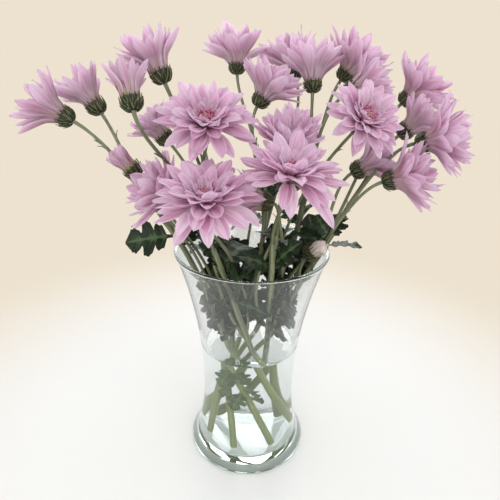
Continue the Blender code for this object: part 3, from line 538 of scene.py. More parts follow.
def push(points, others, need):
    """Shift that takes each point away from the nearest other point, where it is too near."""
    away = points[:, None] - others[None]
    far = np.linalg.norm(away, axis=2)
    near = far.argmin(axis=1)
    rows = np.arange(len(points))
    least = far[rows, near]
    short = np.clip(need - least, 0, None)
    return away[rows, near] / np.maximum(least, 0.01)[:, None] * short[:, None]


def spine(length, lift, curl, stations):
    """Way out, way up and slope of a blade's middle line at each station."""
    out, up, last, result = 0.0, 0.0, 0.0, []
    for s in stations:
        slope = math.radians(lift + curl * (s + last) / 2)
        out += length * (s - last) * math.cos(slope)
        up += length * (s - last) * math.sin(slope)
        result.append((out, up, math.radians(lift + curl * s)))
        last = s
    return result


def petal_shape(root, out, axis, lift, curl, length, width, twist, grow=0.0):
    """Vertices and triangles of a petal: a point at its root, flat above, with a keel below."""
    side = axis.cross(out)
    points = [root]
    line = spine(length + grow, lift, curl, (*PETAL_STATIONS, 1.0))
    for share, wide, (a, b, slope) in zip(PETAL_STATIONS, PETAL_WIDTHS, line):
        middle = root + out * a + axis * b
        across = axis * math.cos(slope) - out * math.sin(slope)
        turn = math.radians(twist) * share
        edge = side * math.cos(turn) + across * math.sin(turn)
        over = across * math.cos(turn) - side * math.sin(turn)
        half = wide * width / 2 + grow
        points += [middle + edge * half + over * grow, middle - edge * half + over * grow,
                   middle - over * (PETAL_THICK + grow)]
    a, b, _ = line[-1]
    points.append(root + out * a + axis * b)
    faces = []
    for a, b in ((1, 2), (2, 3), (3, 1)):
        faces += [(0, a, b), (a, b, b + 3), (a, b + 3, a + 3), (a + 3, b + 3, 7)]
    return points, faces


def leaf_shape(root, out, axis, lift, curl, size, grow=0.0):
    """Vertices and triangles of a lobed leaf, thickest along its rib."""
    side = axis.cross(out)
    line = spine(LEAF_LENGTH * size + grow, lift, curl, LEAF_RIB)
    top, under, left, right = [], [], [], []
    for a, b, slope in line:
        middle = root + out * a + axis * b
        across = axis * math.cos(slope) - out * math.sin(slope)
        top.append(middle + across * grow)
        under.append(middle - across * (LEAF_THICK + grow))
    for s, w, i in LEAF_EDGE:
        a, b, slope = spine(LEAF_LENGTH * size + grow, lift, curl, (*LEAF_RIB[1:i + 1], s))[-1]
        across = axis * math.cos(slope) - out * math.sin(slope)
        middle = root + out * a + axis * b + across * (w * LEAF_ARCH * size - LEAF_THICK / 2)
        left.append(middle + side * (w * LEAF_WIDTH * size + grow))
        right.append(middle - side * (w * LEAF_WIDTH * size + grow))
    points = top[:-1] + under[:-1] + left + right + [(top[-1] + under[-1]) / 2]
    ribs, edges, tip = len(top) - 1, len(LEAF_EDGE), len(points) - 1
    faces = [(2 * ribs, 0, 2 * ribs + edges), (2 * ribs, 2 * ribs + edges, ribs)]
    for base in (2 * ribs, 2 * ribs + edges):
        for rib in (0, ribs):
            for k in range(edges):
                i = LEAF_EDGE[k][2]
                after = LEAF_EDGE[k + 1][2] if k + 1 < edges else None
                edge_next = base + k + 1 if k + 1 < edges else tip
                faces.append((rib + i, base + k, edge_next))
                if after is not None and after != i:
                    faces.append((rib + i, edge_next, rib + after))
    return points, faces


class Room:
    """What is already placed: a tree of triangles with a ball round each piece."""

    def __init__(self):
        self.pieces = []

    @staticmethod
    def held(points, faces):
        """Middle and radius of the ball round some points, and the tree of their faces."""
        middle = sum(points, Vector()) / len(points)
        reach = max((p - middle).length for p in points)
        return middle, reach, BVHTree.FromPolygons(points, faces)

    def add(self, owner, points, faces):
        """Keep a shape under its owner's name."""
        self.pieces.append((owner, *self.held(points, faces)))

    def is_clear(self, points, faces, ignore=(), only=None):
        """Whether a shape meets nothing that is kept, but for some owners' or of one owner alone."""
        middle, reach, tree = self.held(points, faces)
        for owner, centre, radius, other in self.pieces:
            if owner in ignore or only not in (None, owner):
                continue
            if (middle - centre).length < reach + radius and tree.overlap(other):
                return False
        return True


def tube_shape(points, radius, sides=STEM_SIDES):
    """Vertices and triangles of a plain tube with its start closed, for the tests of what is clear."""
    points = [Vector(p) for p in points]
    verts, faces = [], [(0, k + 1, k) for k in range(1, sides - 1)]
    for i, p in enumerate(points):
        way = (points[min(i + 1, len(points) - 1)] - points[max(i - 1, 0)]).normalized()
        side = way.orthogonal().normalized()
        for k in range(sides):
            turn = math.tau * k / sides
            verts.append(p + radius * (side * math.cos(turn) + way.cross(side) * math.sin(turn)))
    for i in range(len(points) - 1):
        for k in range(sides):
            a, b = i * sides + k, i * sides + (k + 1) % sides
            faces += [(a, b, b + sides), (a, b + sides, a + sides)]
    return verts, faces


def plan_strands():
    """Centre lines of all main stems and flower stalks, bent clear of each other."""
    stems = {s.name: stem_line(s) for s in SPRAYS}
    strands = [{"spray": s.name, "bloom": None, "points": stems[s.name], "r": STEM_R}
               for s in SPRAYS]
    cups = {b.name: np.array(b.at, float) for b in BLOOMS}
    for b in BLOOMS:
        line = stalk_line(b, stems[b.spray])
        strands.append({"spray": b.spray, "bloom": b.name, "points": line, "r": STALK_R})
    push_apart(strands, cups)
    return strands


def main_stems(strands):
    """Points of each spray's main stem."""
    return {s["spray"]: s["points"] for s in strands if s["bloom"] is None}


def head_frame(bloom):
    """Middle of a bloom's cup mouth, its axis and two directions across it."""
    axis = unit(bloom.azimuth, bloom.lift)
    across = Vector((0, 0, 1)).cross(axis).normalized()
    return Vector(bloom.at) + axis * CUP_MIDDLE, axis, across, axis.cross(across)


def ring(count, spread, draw, u, v):
    """Ways out of a row of petals, evenly spaced but for a drawn share of a step."""
    start = draw.uniform(0, 360)
    for k in range(count):
        turn = math.radians(start + 360 * (k + draw.uniform(-spread, spread)) / count)
        yield u * math.cos(turn) + v * math.sin(turn)


def plan_petals(room):
    """Every petal that finds room, bloom by bloom: way out, tilts, size, twist and row."""
    petals = {b.name: [] for b in BLOOMS}
    for number, bloom in enumerate(BLOOMS):
        draw = random.Random(PETAL_SEED + number)
        _, axis, u, v = head_frame(bloom)
        for name, azimuth, lift, curl, length in LOOSE:
            if name == bloom.name:
                way = unit(azimuth)
                out = (way - axis * way.dot(axis)).normalized()
                place_petal(room, petals, bloom, out, lift, curl, length, LOOSE_WIDTH, 0, 0)
        for level, row in enumerate(ROWS[bloom.kind]):
            for out in ring(row.count, DRAW_TURN, draw, u, v):
                lift = row.lift + draw.uniform(-DRAW_LIFT, DRAW_LIFT)
                curl = row.curl + draw.uniform(-DRAW_CURL, DRAW_CURL)
                length = row.length * draw.uniform(*DRAW_LENGTH)
                twist = draw.uniform(-DRAW_TWIST, DRAW_TWIST)
                place_petal(room, petals, bloom, out, lift, curl, length, row.width, twist, level)
    return petals


def place_petal(room, petals, bloom, out, lift, curl, length, width, twist, level):
    """Add a petal, raised, lowered or shortened until nothing is in its way, or leave it out."""
    mouth, axis, _, _ = head_frame(bloom)
    root = mouth + axis * (PETAL_ROOT_H + PETAL_ROW_H * level) + out * PETAL_ROOT_R
    for share in TRY_LENGTHS:
        for more in TRY_LIFTS:
            size = (PETAL_LENGTH * bloom.size * length * share, PETAL_WIDTH * bloom.size * width)
            shape = (root, out, axis, lift + more, curl, *size, twist)
            points, faces = petal_shape(*shape)
            blade = [f for f in faces if 0 not in f]
            own = bloom.name + " blades"
            if not room.is_clear(points, blade, only=own):
                continue
            if room.is_clear(*petal_shape(*shape, grow=PETAL_CLEAR), ignore=(bloom.name, own)):
                room.add(bloom.name, points, faces)
                room.add(own, points, blade)
                petals[bloom.name].append((out, lift + more, curl, *size, twist, level))
                return


def plan_leaves(room, strands):
    """Leaves named one by one, then seeded leaves along each main stem where there is room."""
    leaves = {s.name: [] for s in SPRAYS}
    stems = main_stems(strands)
    for leaf in LEAVES:
        add_leaf(room, leaves, leaf, stems[leaf.spray], math.inf)
    for number, spray in enumerate(SPRAYS):
        draw = random.Random(LEAF_SEED + number)
        for kind in LEAF_KINDS:
            found = 0
            for _ in range(LEAF_TRIES):
                turn = spray.azimuth + draw.uniform(-kind.fan, kind.fan)
                place = draw.uniform(kind.start, kind.end)
                leaf = Leaf(spray.name, place, turn, draw.uniform(*kind.lifts), draw.uniform(*kind.curls),
                            draw.uniform(*kind.sizes), draw.uniform(-LEAF_ROLL, LEAF_ROLL))
                if found < kind.count and unit(turn).y > -LEAF_FRONT:
                    found += add_leaf(room, leaves, leaf, stems[spray.name], LEAF_REACH)
    return leaves


def grown(leaf, line):
    """Root of a leaf on a line, its way out, its own axis, lift, curl and size."""
    at, _ = along(line, leaf.at)
    axis = unit(leaf.azimuth + 90, 90 - leaf.roll)
    return Vector(at), unit(leaf.azimuth), axis, leaf.lift, leaf.curl, leaf.size


def add_leaf(room, leaves, leaf, stem, reach):
    """Add a leaf if it is clear of everything, within reach and above the water, and say if it was."""
    shape = grown(leaf, stem)
    points, faces = leaf_shape(*shape, grow=LEAF_CLEAR)
    wet = min(p.z for p in points) < WATER_Z + LEAF_ABOVE_WATER
    if wet or max(p.xy.length for p in points) > reach:
        return False
    blade = [f for f in faces if not set(f) & LEAF_FOOT]
    own_clear = room.is_clear(points, blade, only=leaf.spray)
    if not own_clear or not room.is_clear(points, faces, ignore=(leaf.spray,)):
        return False
    room.add(leaf.spray, *leaf_shape(*shape))
    leaves[leaf.spray].append(shape)
    return True


def wall_shape():
    """Points and faces of the glass wall, up its inside and down its outside."""
    rings = [(inner_radius(z), z) for z in WALL_HEIGHTS]
    rings += [(outer_radius(z), z) for z in WALL_HEIGHTS[::-1]]
    points = [unit(360 * k / WALL_TURNS) * r + Vector((0, 0, z))
              for r, z in rings for k in range(WALL_TURNS)]
    faces = []
    for i in range(0, len(points) - WALL_TURNS, WALL_TURNS):
        for k in range(WALL_TURNS):
            a, b = i + k, i + (k + 1) % WALL_TURNS
            faces.append((a, b, b + WALL_TURNS, a + WALL_TURNS))
    return points, faces


def fill_room(strands):
    """Room that already holds the glass, the strands and the cups."""
    room = Room()
    room.add("vase", *wall_shape())
    for strand in strands:
        every = STEM_EVERY if strand["bloom"] is None else STALK_EVERY
        points = tube_points(strand["points"], every)
        for pair in zip(points, points[1:]):
            room.add(strand["spray"], *tube_shape(pair, strand["r"]))
    for bloom in BLOOMS:
        mouth, axis, _, _ = head_frame(bloom)
        line = [mouth + axis * h for h in CUP_ROOM_HEIGHTS]
        room.add(bloom.spray, *tube_shape(line, CUP_ROOM_R))
        line = [mouth + axis * h for h in (0.0, CORE_H)]
        room.add(bloom.name, *tube_shape(line, CORE_R))
    return room


def tube_points(points, every):
    """A strand's first point, every so many past its straight foot, and its last."""
    kept = [p for i, p in enumerate(points) if i and i % every == 0 and p[2] > STRAIGHT_Z]
    if len(kept) > 1 and np.linalg.norm(kept[-1] - points[-1]) < every * STRAND_STEP / 2:
        kept.pop()
    return [points[0], *kept, points[-1]]


def vec(v):
    """Array of a vector."""
    return np.array(v, float)


def smooth(x):
    """Smooth step from 0 to 1."""
    x = np.clip(x, 0, 1)
    return x * x * (3 - 2 * x)


def looks(across, share, tone):
    """Look values of a grid of points: how far across and along its blade each lies, and a tone."""
    return np.stack(np.broadcast_arrays(across, share, tone), -1)


def slab(grid, thick):
    """Closed thin body round a grid of points that runs along and then across.

    Returns its vertices, its quads, the grid point of each vertex and 1 for each quad that lies under.
    """
    rows, columns = grid.shape[:2]
    normal = np.cross(np.gradient(grid, axis=0), np.gradient(grid, axis=1))
    normal /= np.maximum(np.linalg.norm(normal, axis=2, keepdims=True), 1e-9)
    inner = np.zeros((rows, columns), bool)
    inner[1:-1, 1:-1] = True
    top = grid + normal * inner[..., None] * thick / 2
    index = np.arange(rows * columns).reshape(rows, columns)
    under = index.copy()
    under[inner] = rows * columns + np.arange(inner.sum())
    upper = np.stack([index[:-1, :-1], index[1:, :-1], index[1:, 1:], index[:-1, 1:]], -1)
    lower = np.stack([under[:-1, :-1], under[:-1, 1:], under[1:, 1:], under[1:, :-1]], -1)
    verts = np.vstack([top.reshape(-1, 3), (grid - normal * thick / 2)[inner]])
    quads = np.vstack([upper.reshape(-1, 4), lower.reshape(-1, 4)])
    source = np.concatenate([index.ravel(), index[inner]])
    return verts, quads, source, np.repeat([0.0, 1.0], upper.size // 4)


class Batch:
    """Blades and tubes gathered into one piece, with the attributes that its materials read.

    look, on the points, holds how far across and along a blade a point lies and a tone.
    under, on the faces, is 1 on a blade's lower side.
    """

    def __init__(self):
        self.verts, self.quads, self.look, self.under, self.kind = [], [], [], [], []
        self.count = 0

    def add(self, verts, quads, look, under=None, kind=0):
        self.verts.append(verts)
        self.quads.append(quads + self.count)
        self.look.append(look)
        self.under.append(np.zeros(len(quads)) if under is None else under)
        self.kind.append(np.full(len(quads), kind))
        self.count += len(verts)

    def blade(self, grid, thick, look, kind=0):
        verts, quads, source, under = slab(grid, thick)
        self.add(verts, quads, look.reshape(-1, 3)[source], under, kind)

    def tube(self, points, radii, sides=FINE_SIDES, ribs=0.0, tone=0.5, kind=0):
        """Closed tube along points, its ends filled with quads."""
        points = vec(points)
        way = np.gradient(points, axis=0)
        way /= np.linalg.norm(way, axis=1, keepdims=True)
        side = vec(Vector(way[0]).orthogonal().normalized())
        rings = []
        turn = np.linspace(0, math.tau, sides, endpoint=False)[:, None]
        for p, w, r in zip(points, way, radii):
            side = side - w * side.dot(w)
            side /= np.linalg.norm(side)
            ring = side * np.cos(turn) + np.cross(w, side) * np.sin(turn)
            rings.append(p + ring * r * (1 + ribs * np.cos(RIB_COUNT * turn)))
        index = np.arange(len(points) * sides).reshape(-1, sides)
        after = np.roll(index, -1, axis=1)
        quads = np.stack([index[:-1], after[:-1], after[1:], index[1:]], -1).reshape(-1, 4)
        first, last = index[0], index[-1]
        caps = []
        for k in range(sides // 2 - 1):
            corners = (k, k + 1, sides - 2 - k, sides - 1 - k)
            caps.append([first[c] for c in reversed(corners)])
            caps.append([last[c] for c in corners])
        look = looks(np.linspace(0, 1, sides, endpoint=False), np.linspace(0, 1, len(points))[:, None], tone)
        self.add(np.vstack(rings), np.vstack([quads, caps]), look.reshape(-1, 3), kind=kind)

    def piece(self, name, materials, slot, *nodes):
        """Finish the piece, which rides with the object in place of its CAD nodes."""
        quads = np.vstack(self.quads).astype(np.int32)
        verts = np.vstack(self.verts) * MM
        mesh = bpy.data.meshes.new(name)
        mesh.vertices.add(len(verts))
        mesh.vertices.foreach_set("co", verts.astype(np.float32).ravel())
        mesh.loops.add(quads.size)
        mesh.loops.foreach_set("vertex_index", quads.ravel())
        mesh.polygons.add(len(quads))
        mesh.polygons.foreach_set("loop_start", np.arange(len(quads), dtype=np.int32) * 4)
        mesh.polygons.foreach_set("material_index", np.concatenate(self.kind).astype(np.int32))
        mesh.update(calc_edges=True)
        look = mesh.attributes.new("look", "FLOAT_VECTOR", "POINT")
        look.data.foreach_set("vector", np.vstack(self.look).astype(np.float32).ravel())
        under = mesh.attributes.new("under", "FLOAT", "FACE")
        under.data.foreach_set("value", np.concatenate(self.under).astype(np.float32))
        mesh.shade_smooth()
        mesh.set_sharp_from_angle(angle=math.radians(SHARP_BLADE))
        placed(name, mesh, materials, slot, *nodes)


def linked(name, data):
    """New object in the scene."""
    made = bpy.data.objects.new(name, data)
    bpy.context.scene.collection.objects.link(made)
    return made


def placed(name, mesh, materials, slot, *nodes):
    """Make the object of a mesh, which rides on the root body and replaces CAD nodes."""
    piece = linked(name, mesh)
    for material in materials:
        mesh.materials.append(material)
    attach(piece, "root")
    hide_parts(*nodes)


def running(values, step):
    """Running sum of values at evenly spaced shares, from 0."""
    return np.concatenate([[0], np.cumsum((values[1:] + values[:-1]) / 2) * step])


def fine_petal(batch, bloom, out, lift, curl, length, width, twist, rise, draw):
    """One petal: a narrow base inside the cup, a grooved cupped blade and a blunt point."""
    mouth, axis, _, _ = head_frame(bloom)
    rows, columns = PETAL_POINTS
    v, u = np.linspace(0, 1, rows), np.linspace(-1, 1, columns)
    bend = draw.uniform(*TIP_BEND[bloom.kind]) * smooth((v - TIP_BENDS_AT) / (1 - TIP_BENDS_AT))
    slope = np.radians(lift + curl * v + bend)
    far = PETAL_ROOT_R + ROOT_OUT[bloom.kind] + length * running(np.cos(slope), v[1])
    high = PETAL_ROOT_H + rise + length * running(np.sin(slope), v[1])
    far, high = claw(v, slope, far, high, length, rise, CLAW_LIFT[bloom.kind])
    slope = np.arctan2(np.gradient(high), np.gradient(far))[:, None, None]
    turn = np.radians(twist) * v[:, None, None]
    axis, out = vec(axis), vec(out)
    side = np.cross(axis, out)
    across = axis * np.cos(slope) - out * np.sin(slope)
    edge = side * np.cos(turn) + across * np.sin(turn)
    over = across * np.cos(turn) - side * np.sin(turn)
    grow = BASE_WIDTH + (1 - BASE_WIDTH) * smooth(v / BASE_END)
    narrow = np.clip((v - TIP_START) / (1 - TIP_START), 0, 1) ** draw.uniform(*TIP_POWER)
    half = np.maximum(grow * (1 - narrow) ** draw.uniform(*TIP_BLUNT), POINT_WIDTH) * width / 2
    cup = draw.uniform(*CUPPING) * (1 - CUPPING_FADE * v) + BASE_CUPPING * (1 - v) ** 2
    along_blade = np.sin(math.pi * v[:, None] ** 0.7)
    groove = np.exp(-((np.abs(u) - GROOVE_AT) / GROOVE_SPREAD) ** 2) * along_blade
    ridge = np.exp(-(u / RIDGE_SPREAD) ** 2) * along_blade
    lifted = (cup * half)[:, None] * u ** 2
    lifted = lifted - GROOVE_DEPTH * width * groove + RIDGE_HEIGHT * width * ridge
    ripple = np.sin(math.tau * (draw.uniform(*RIPPLE_WAVES) * v + draw.random()))
    lifted = lifted + draw.uniform(*RIPPLE_HEIGHT) * ripple[:, None] * u * v[:, None]
    sway = draw.uniform(-SWAY, SWAY) * length * v[:, None, None] ** 2
    middle = vec(mouth) + out * far[:, None, None] + axis * high[:, None, None] + side * sway
    grid = middle + edge * (u * half[:, None])[..., None] + over * lifted[..., None]
    batch.blade(grid, BLADE_THICK, looks((u + 1) / 2, v[:, None], draw.random()))


def claw(v, slope, far, high, length, rise, steep):
    """Middle line of a petal with its start drawn down into the mouth of the cup."""
    k = int(round(CLAW_END * (len(v) - 1)))
    q = v[:k + 1] / v[k]
    start = np.array([CLAW_R - rise * CLAW_IN, CLAW_H + rise * CLAW_UP])
    end = np.array([far[k], high[k]])
    steep = max(math.radians(steep), slope[k])
    leave = np.array([math.cos(steep), math.sin(steep)]) * length * v[k]
    arrive = np.array([math.cos(slope[k]), math.sin(slope[k])]) * length * v[k]
    line = (np.outer(2 * q ** 3 - 3 * q ** 2 + 1, start) + np.outer(q ** 3 - 2 * q ** 2 + q, leave)
            + np.outer(3 * q ** 2 - 2 * q ** 3, end) + np.outer(q ** 3 - q ** 2, arrive))
    far, high = far.copy(), high.copy()
    far[:k + 1], high[:k + 1] = line[:, 0], line[:, 1]
    return far, high


def fine_blooms(petals, materials):
    """One piece for each bloom: the part's own petals, fillers between them and disc florets."""
    for number, bloom in enumerate(BLOOMS):
        batch, draw = Batch(), random.Random(FINE_SEED + number)
        _, _, u, v = head_frame(bloom)
        for out, lift, curl, length, width, twist, level in petals[bloom.name]:
            width *= FINE_WIDTH[bloom.kind]
            length *= FINE_LENGTH[bloom.kind][level]
            fine_petal(batch, bloom, out, lift, curl, length, width, twist, PETAL_ROW_H * level, draw)
        for row in FILL[FILL_AS.get(bloom.name, bloom.kind)]:
            for out in ring(row.count, FILL_TURN, draw, u, v):
                length = PETAL_LENGTH * bloom.size * row.length * draw.uniform(*FILL_LENGTH)
                width = PETAL_WIDTH * bloom.size * row.width * draw.uniform(*FILL_WIDTH)
                lift = row.lift + draw.uniform(-FILL_LIFT, FILL_LIFT)
                curl = row.curl + draw.uniform(-FILL_CURL, FILL_CURL)
                twist = draw.uniform(-FILL_TWIST, FILL_TWIST)
                fine_petal(batch, bloom, out, lift, curl, length, width, twist, row.rise, draw)
        middle_of(batch, bloom, draw)
        slot = "bud" if bloom.kind == "closed" else "petal"
        batch.piece("petals_" + bloom.name, [materials[slot], materials["disc"]], slot,
                    "bloom_" + bloom.name)


def middle_of(batch, bloom, draw):
    """Receptacle that the petals stand on, and the disc florets on top of it."""
    mouth, axis, u, v = (vec(x) for x in head_frame(bloom))
    share = DOME_SHARE if bloom.kind == "closed" else 1.0
    batch.tube([mouth + axis * h for h, _ in DOME], [r * share for _, r in DOME], kind=1, tone=0.0)
    count = DISC_COUNT[bloom.kind]
    for k in range(count):
        share = math.sqrt((k + 0.5) / count)
        turn = math.radians(TURN_GOLD * k)
        out = u * math.cos(turn) + v * math.sin(turn)
        foot = mouth + axis * (DISC_TOP - DISC_DROP * share) + out * DISC_R * share
        way = axis + out * (DISC_LEAN * share + draw.uniform(-LEAN_DRAW, LEAN_DRAW))
        high = DISC_HIGH * draw.uniform(*HIGH_DRAW) * (DISC_LOW + (1 - DISC_LOW) * share)
        hook = (axis * HOOK_UP - out) * draw.uniform(0.0, HOOK_DRAW)
        line = [foot + way * high * s + hook * s ** 4 for s, _ in FLORET]
        batch.tube(line, [r for _, r in FLORET], FLORET_SIDES, kind=1, tone=0.2 + 0.8 * share)


def cup_side(angle):
    """Radius and height of the cup's side at an angle, 0 at its bottom and 90 at its mouth."""
    a = np.radians(angle)
    return CUP_MOUTH_R * np.sin(a) ** CUP_FULL, -FINE_DEPTH * np.cos(a)


def fine_cup(batch, bloom, draw):
    """Green cup: three overlapping rows of narrow bracts on a smooth inner shell."""
    mouth, axis, u, v = (vec(x) for x in head_frame(bloom))
    shell_r, shell_h = cup_side(np.linspace(SHELL_START, 90, SHELL_RINGS))
    batch.tube([mouth + axis * h for h in shell_h], shell_r * SHELL_SHARE, tone=0.1)
    rows, columns = BRACT_POINTS
    s, x = np.linspace(0, 1, rows)[:, None], np.linspace(-1, 1, columns)[None]
    for row in BRACTS:
        start = draw.uniform(0, math.tau)
        for k in range(row.count):
            end = row.end + draw.uniform(-BRACT_END_DRAW, BRACT_END_DRAW)
            radius, high = cup_side(row.start + (end - row.start) * s)
            flick = draw.uniform(*BRACT_FLICK) * s ** 3
            radius = radius + row.off + flick + BRACT_BULGE * (1 - x ** 2)
            swell = BRACT_FOOT + (1 - BRACT_FOOT) * np.sin(math.pi * s ** 0.8)
            half = row.width / 2 * swell * (1 - BRACT_TAPER * s ** 2.2)
            place = k + draw.uniform(-BRACT_TURN_DRAW, BRACT_TURN_DRAW)
            turn = start + math.tau * place / row.count + x * half / radius
            turn, radius, high = turn[..., None], radius[..., None], np.broadcast_to(high, turn.shape)
            grid = mouth + axis * high[..., None] + (u * np.cos(turn) + v * np.sin(turn)) * radius
            look = looks((x + 1) / 2, s, draw.uniform(0.3, 1))
            batch.blade(grid[:, ::-1], BRACT_THICK, look[:, ::-1])


def resampled(points, count):
    """Points evenly spaced along a smoothed line."""
    points = vec(points)
    inner = (points[:-2] + 2 * points[1:-1] + points[2:]) / 4
    points = np.vstack([points[:1], inner, points[-1:]])
    far = np.concatenate([[0], np.cumsum(np.linalg.norm(np.diff(points, axis=0), axis=1))])
    return np.stack([np.interp(np.linspace(0, far[-1], count), far, points[:, k]) for k in range(3)], 1)


def fine_strand(batch, strand, draw):
    """Ribbed stem or stalk; a stalk widens into its cup and carries small scale leaves."""
    points = vec(strand["points"])
    if strand["bloom"] is not None:
        way = points[-1] - points[-2]
        points = np.vstack([points, points[-1] + way / np.linalg.norm(way) * STALK_MORE])
    length = np.linalg.norm(np.diff(points, axis=0), axis=1).sum()
    count = max(STEM_LEAST_STEPS, int(length / STEM_STEP))
    line = resampled(points, count)
    share = np.linspace(0, 1, count)
    if strand["bloom"] is None:
        radii = STEM_R + (STEM_TOP_R - STEM_R) * share
        swell = SWELL * np.exp(-((share * SWELLINGS % 1 - 0.5) / SWELL_SPREAD) ** 2)
        radii = radii * (1 + swell * (share > SWELL_FROM))
        batch.tube(line, radii, ribs=RIB_DEPTH, tone=draw.random())
        return
    flare = FLARE * smooth((share - FLARE_FROM) / (1 - FLARE_FROM))
    radii = STALK_R * (STALK_START - STALK_TAPER * share + flare)
    batch.tube(line, radii, ribs=RIB_DEPTH, tone=draw.random())
    for _ in range(SCALES_PER_STALK):
        at, way = along(line, draw.uniform(*SCALES_AT))
        scale_leaf(batch, at, way, draw)


def add_shoots(batch, spray, strands, draw):
    """Thin side shoots that rise beside a main stem and join a flower stalk."""
    lines = {s["bloom"] or s["spray"]: s["points"] for s in strands}
    for shoot in SHOOTS:
        if shoot.spray == spray:
            low, leaves_at = along(lines[spray], shoot.start)
            high, joins_at = along(lines[shoot.bloom], shoot.end)
            pull = np.linalg.norm(high - low) * SHOOT_PULL
            bow = vec(unit(shoot.azimuth)) * shoot.bow
            line = bezier(low, low + leaves_at * pull + bow, high - joins_at * pull + bow, high)
            batch.tube(line, np.full(len(line), SHOOT_R), ribs=RIB_DEPTH, tone=draw.random())


def scale_leaf(batch, at, way, draw):
    """Small narrow leaf on a stalk, bent away from it."""
    side = np.cross(way, vec(unit(draw.uniform(0, 360), draw.uniform(-40, 40))))
    side /= np.linalg.norm(side)
    out = np.cross(side, way)
    length, bend = draw.uniform(*SCALE_LENGTH), math.radians(draw.uniform(*SCALE_BEND))
    rows, columns = SCALE_POINTS
    s, x = np.linspace(0, 1, rows)[:, None, None], np.linspace(-1, 1, columns)[None, :, None]
    angle = bend * s
    far = STALK_R * SCALE_ROOT + length * (1 - np.cos(angle)) / bend
    half = SCALE_HALF * np.sin(math.pi * np.clip(0.12 + 0.80 * s, 0, 1)) ** 0.8
    grid = at + out * far + way * length * np.sin(angle) / bend + side * x * half
    grid = grid + out * SCALE_CHANNEL * x ** 2
    batch.blade(grid, BRACT_THICK, looks((x[..., 0] + 1) / 2, s[..., 0], SCALE_TONE))


def leaf_outline():
    """Half of the leaf's edge as shares of its length and width, rounded and toothed."""
    corners = np.array([(-0.02, 0.03)] + [(s, w) for s, w, _ in LEAF_EDGE] + [(1.0, 0.015), (1.06, -0.1)])
    points = []
    for a, b, c, d in zip(corners, corners[1:], corners[2:], corners[3:]):
        for t in np.arange(LEAF_STEPS) / LEAF_STEPS:
            points.append(0.5 * (2 * b + (c - a) * t + (2 * a - 5 * b + 4 * c - d) * t ** 2
                                 + (3 * b - a - 3 * c + d) * t ** 3))
    points = np.array(points + [corners[-2]])
    teeth = TOOTH * np.sin(np.arange(len(points)) * TOOTH_TURN) * smooth((points[:, 1] - TOOTH_FROM) / 0.1)
    points[:, 1] = np.maximum(points[:, 1] + teeth, LEAF_LEAST)
    return points


def off_glass(grid):
    """Points of a leaf, moved in from where they would stand in the wall of the vase."""
    reach = np.linalg.norm(grid[..., :2], axis=-1)
    inner, outer = (np.vectorize(radius)(grid[..., 2]) for radius in (inner_radius, outer_radius))
    room = inner - LEAF_OFF_GLASS
    caught = (grid[..., 2] < VASE_H) & (reach > room) & (reach < outer + LEAF_OFF_GLASS)
    scale = np.where(caught, room / reach, 1.0)
    return grid * np.stack([scale, scale, np.ones_like(scale)], -1)


def fine_leaf(batch, shape, draw):
    """Lobed leaf with a channelled rib, arched lobes and veins that run to the lobes' points."""
    root, out, axis, lift, curl, size = shape
    root, out, axis = vec(root), vec(out), vec(axis)
    side = np.cross(axis, out)
    edge = leaf_outline()
    share = np.linspace(0, 1, len(edge))
    rib = np.maximum.accumulate(np.clip(edge[:, 0] - VEIN_RUN * edge[:, 1], 0, 1)) * 0.98 + 0.02 * share
    place = np.linspace(-1, 1, 2 * LEAF_ACROSS + 1)[None]
    t, hand = np.abs(place), np.sign(place)
    s = rib[:, None] * (1 - t) + edge[:, :1] * t
    w = edge[:, 1:] * t
    fine = np.linspace(0, 1, LEAF_LINE)
    slope = np.radians(lift + curl * fine)
    length = LEAF_LENGTH * size
    far = np.interp(s, fine, length * running(np.cos(slope), fine[1]))
    high = np.interp(s, fine, length * running(np.sin(slope), fine[1]))
    angle = np.radians(lift + curl * s)[..., None]
    across = axis * np.cos(angle) - out * np.sin(angle)
    lobes = np.cos(math.tau * (s * LOBE_WAVES + draw.random()))
    lifted = LEAF_ARCH * w * size + LOBE_HEIGHT * size * lobes * t * smooth(w / 0.3) - LEAF_THICK / 2
    warp = draw.uniform(*WARP_DRAW) * hand * w * WARP_HEIGHT
    lifted = lifted + warp * np.sin(WARP_WAVES * s + draw.uniform(0, 6))
    grid = root + out * far[..., None] + axis * high[..., None]
    grid = grid + side * (hand * w * LEAF_WIDTH * size)[..., None] + across * lifted[..., None]
    wide, index = edge[:, 1], np.arange(len(edge))
    peaks = [k for k in index[1:-1] if wide[k] > VEIN_FROM
             and wide[k] >= wide[k - 1] and wide[k] > wide[k + 1]]
    vein = np.exp(-(t / RIB_SPREAD) ** 2) * np.ones_like(s)
    for k in peaks:
        near = np.exp(-((index[:, None] - k) / VEIN_SPREAD) ** 2)
        vein = np.maximum(vein, VEIN_SHARE * near * (1 - 0.5 * t))
    batch.blade(off_glass(grid), LEAF_SKIN, looks(t * hand / 2 + 0.5, s, vein))


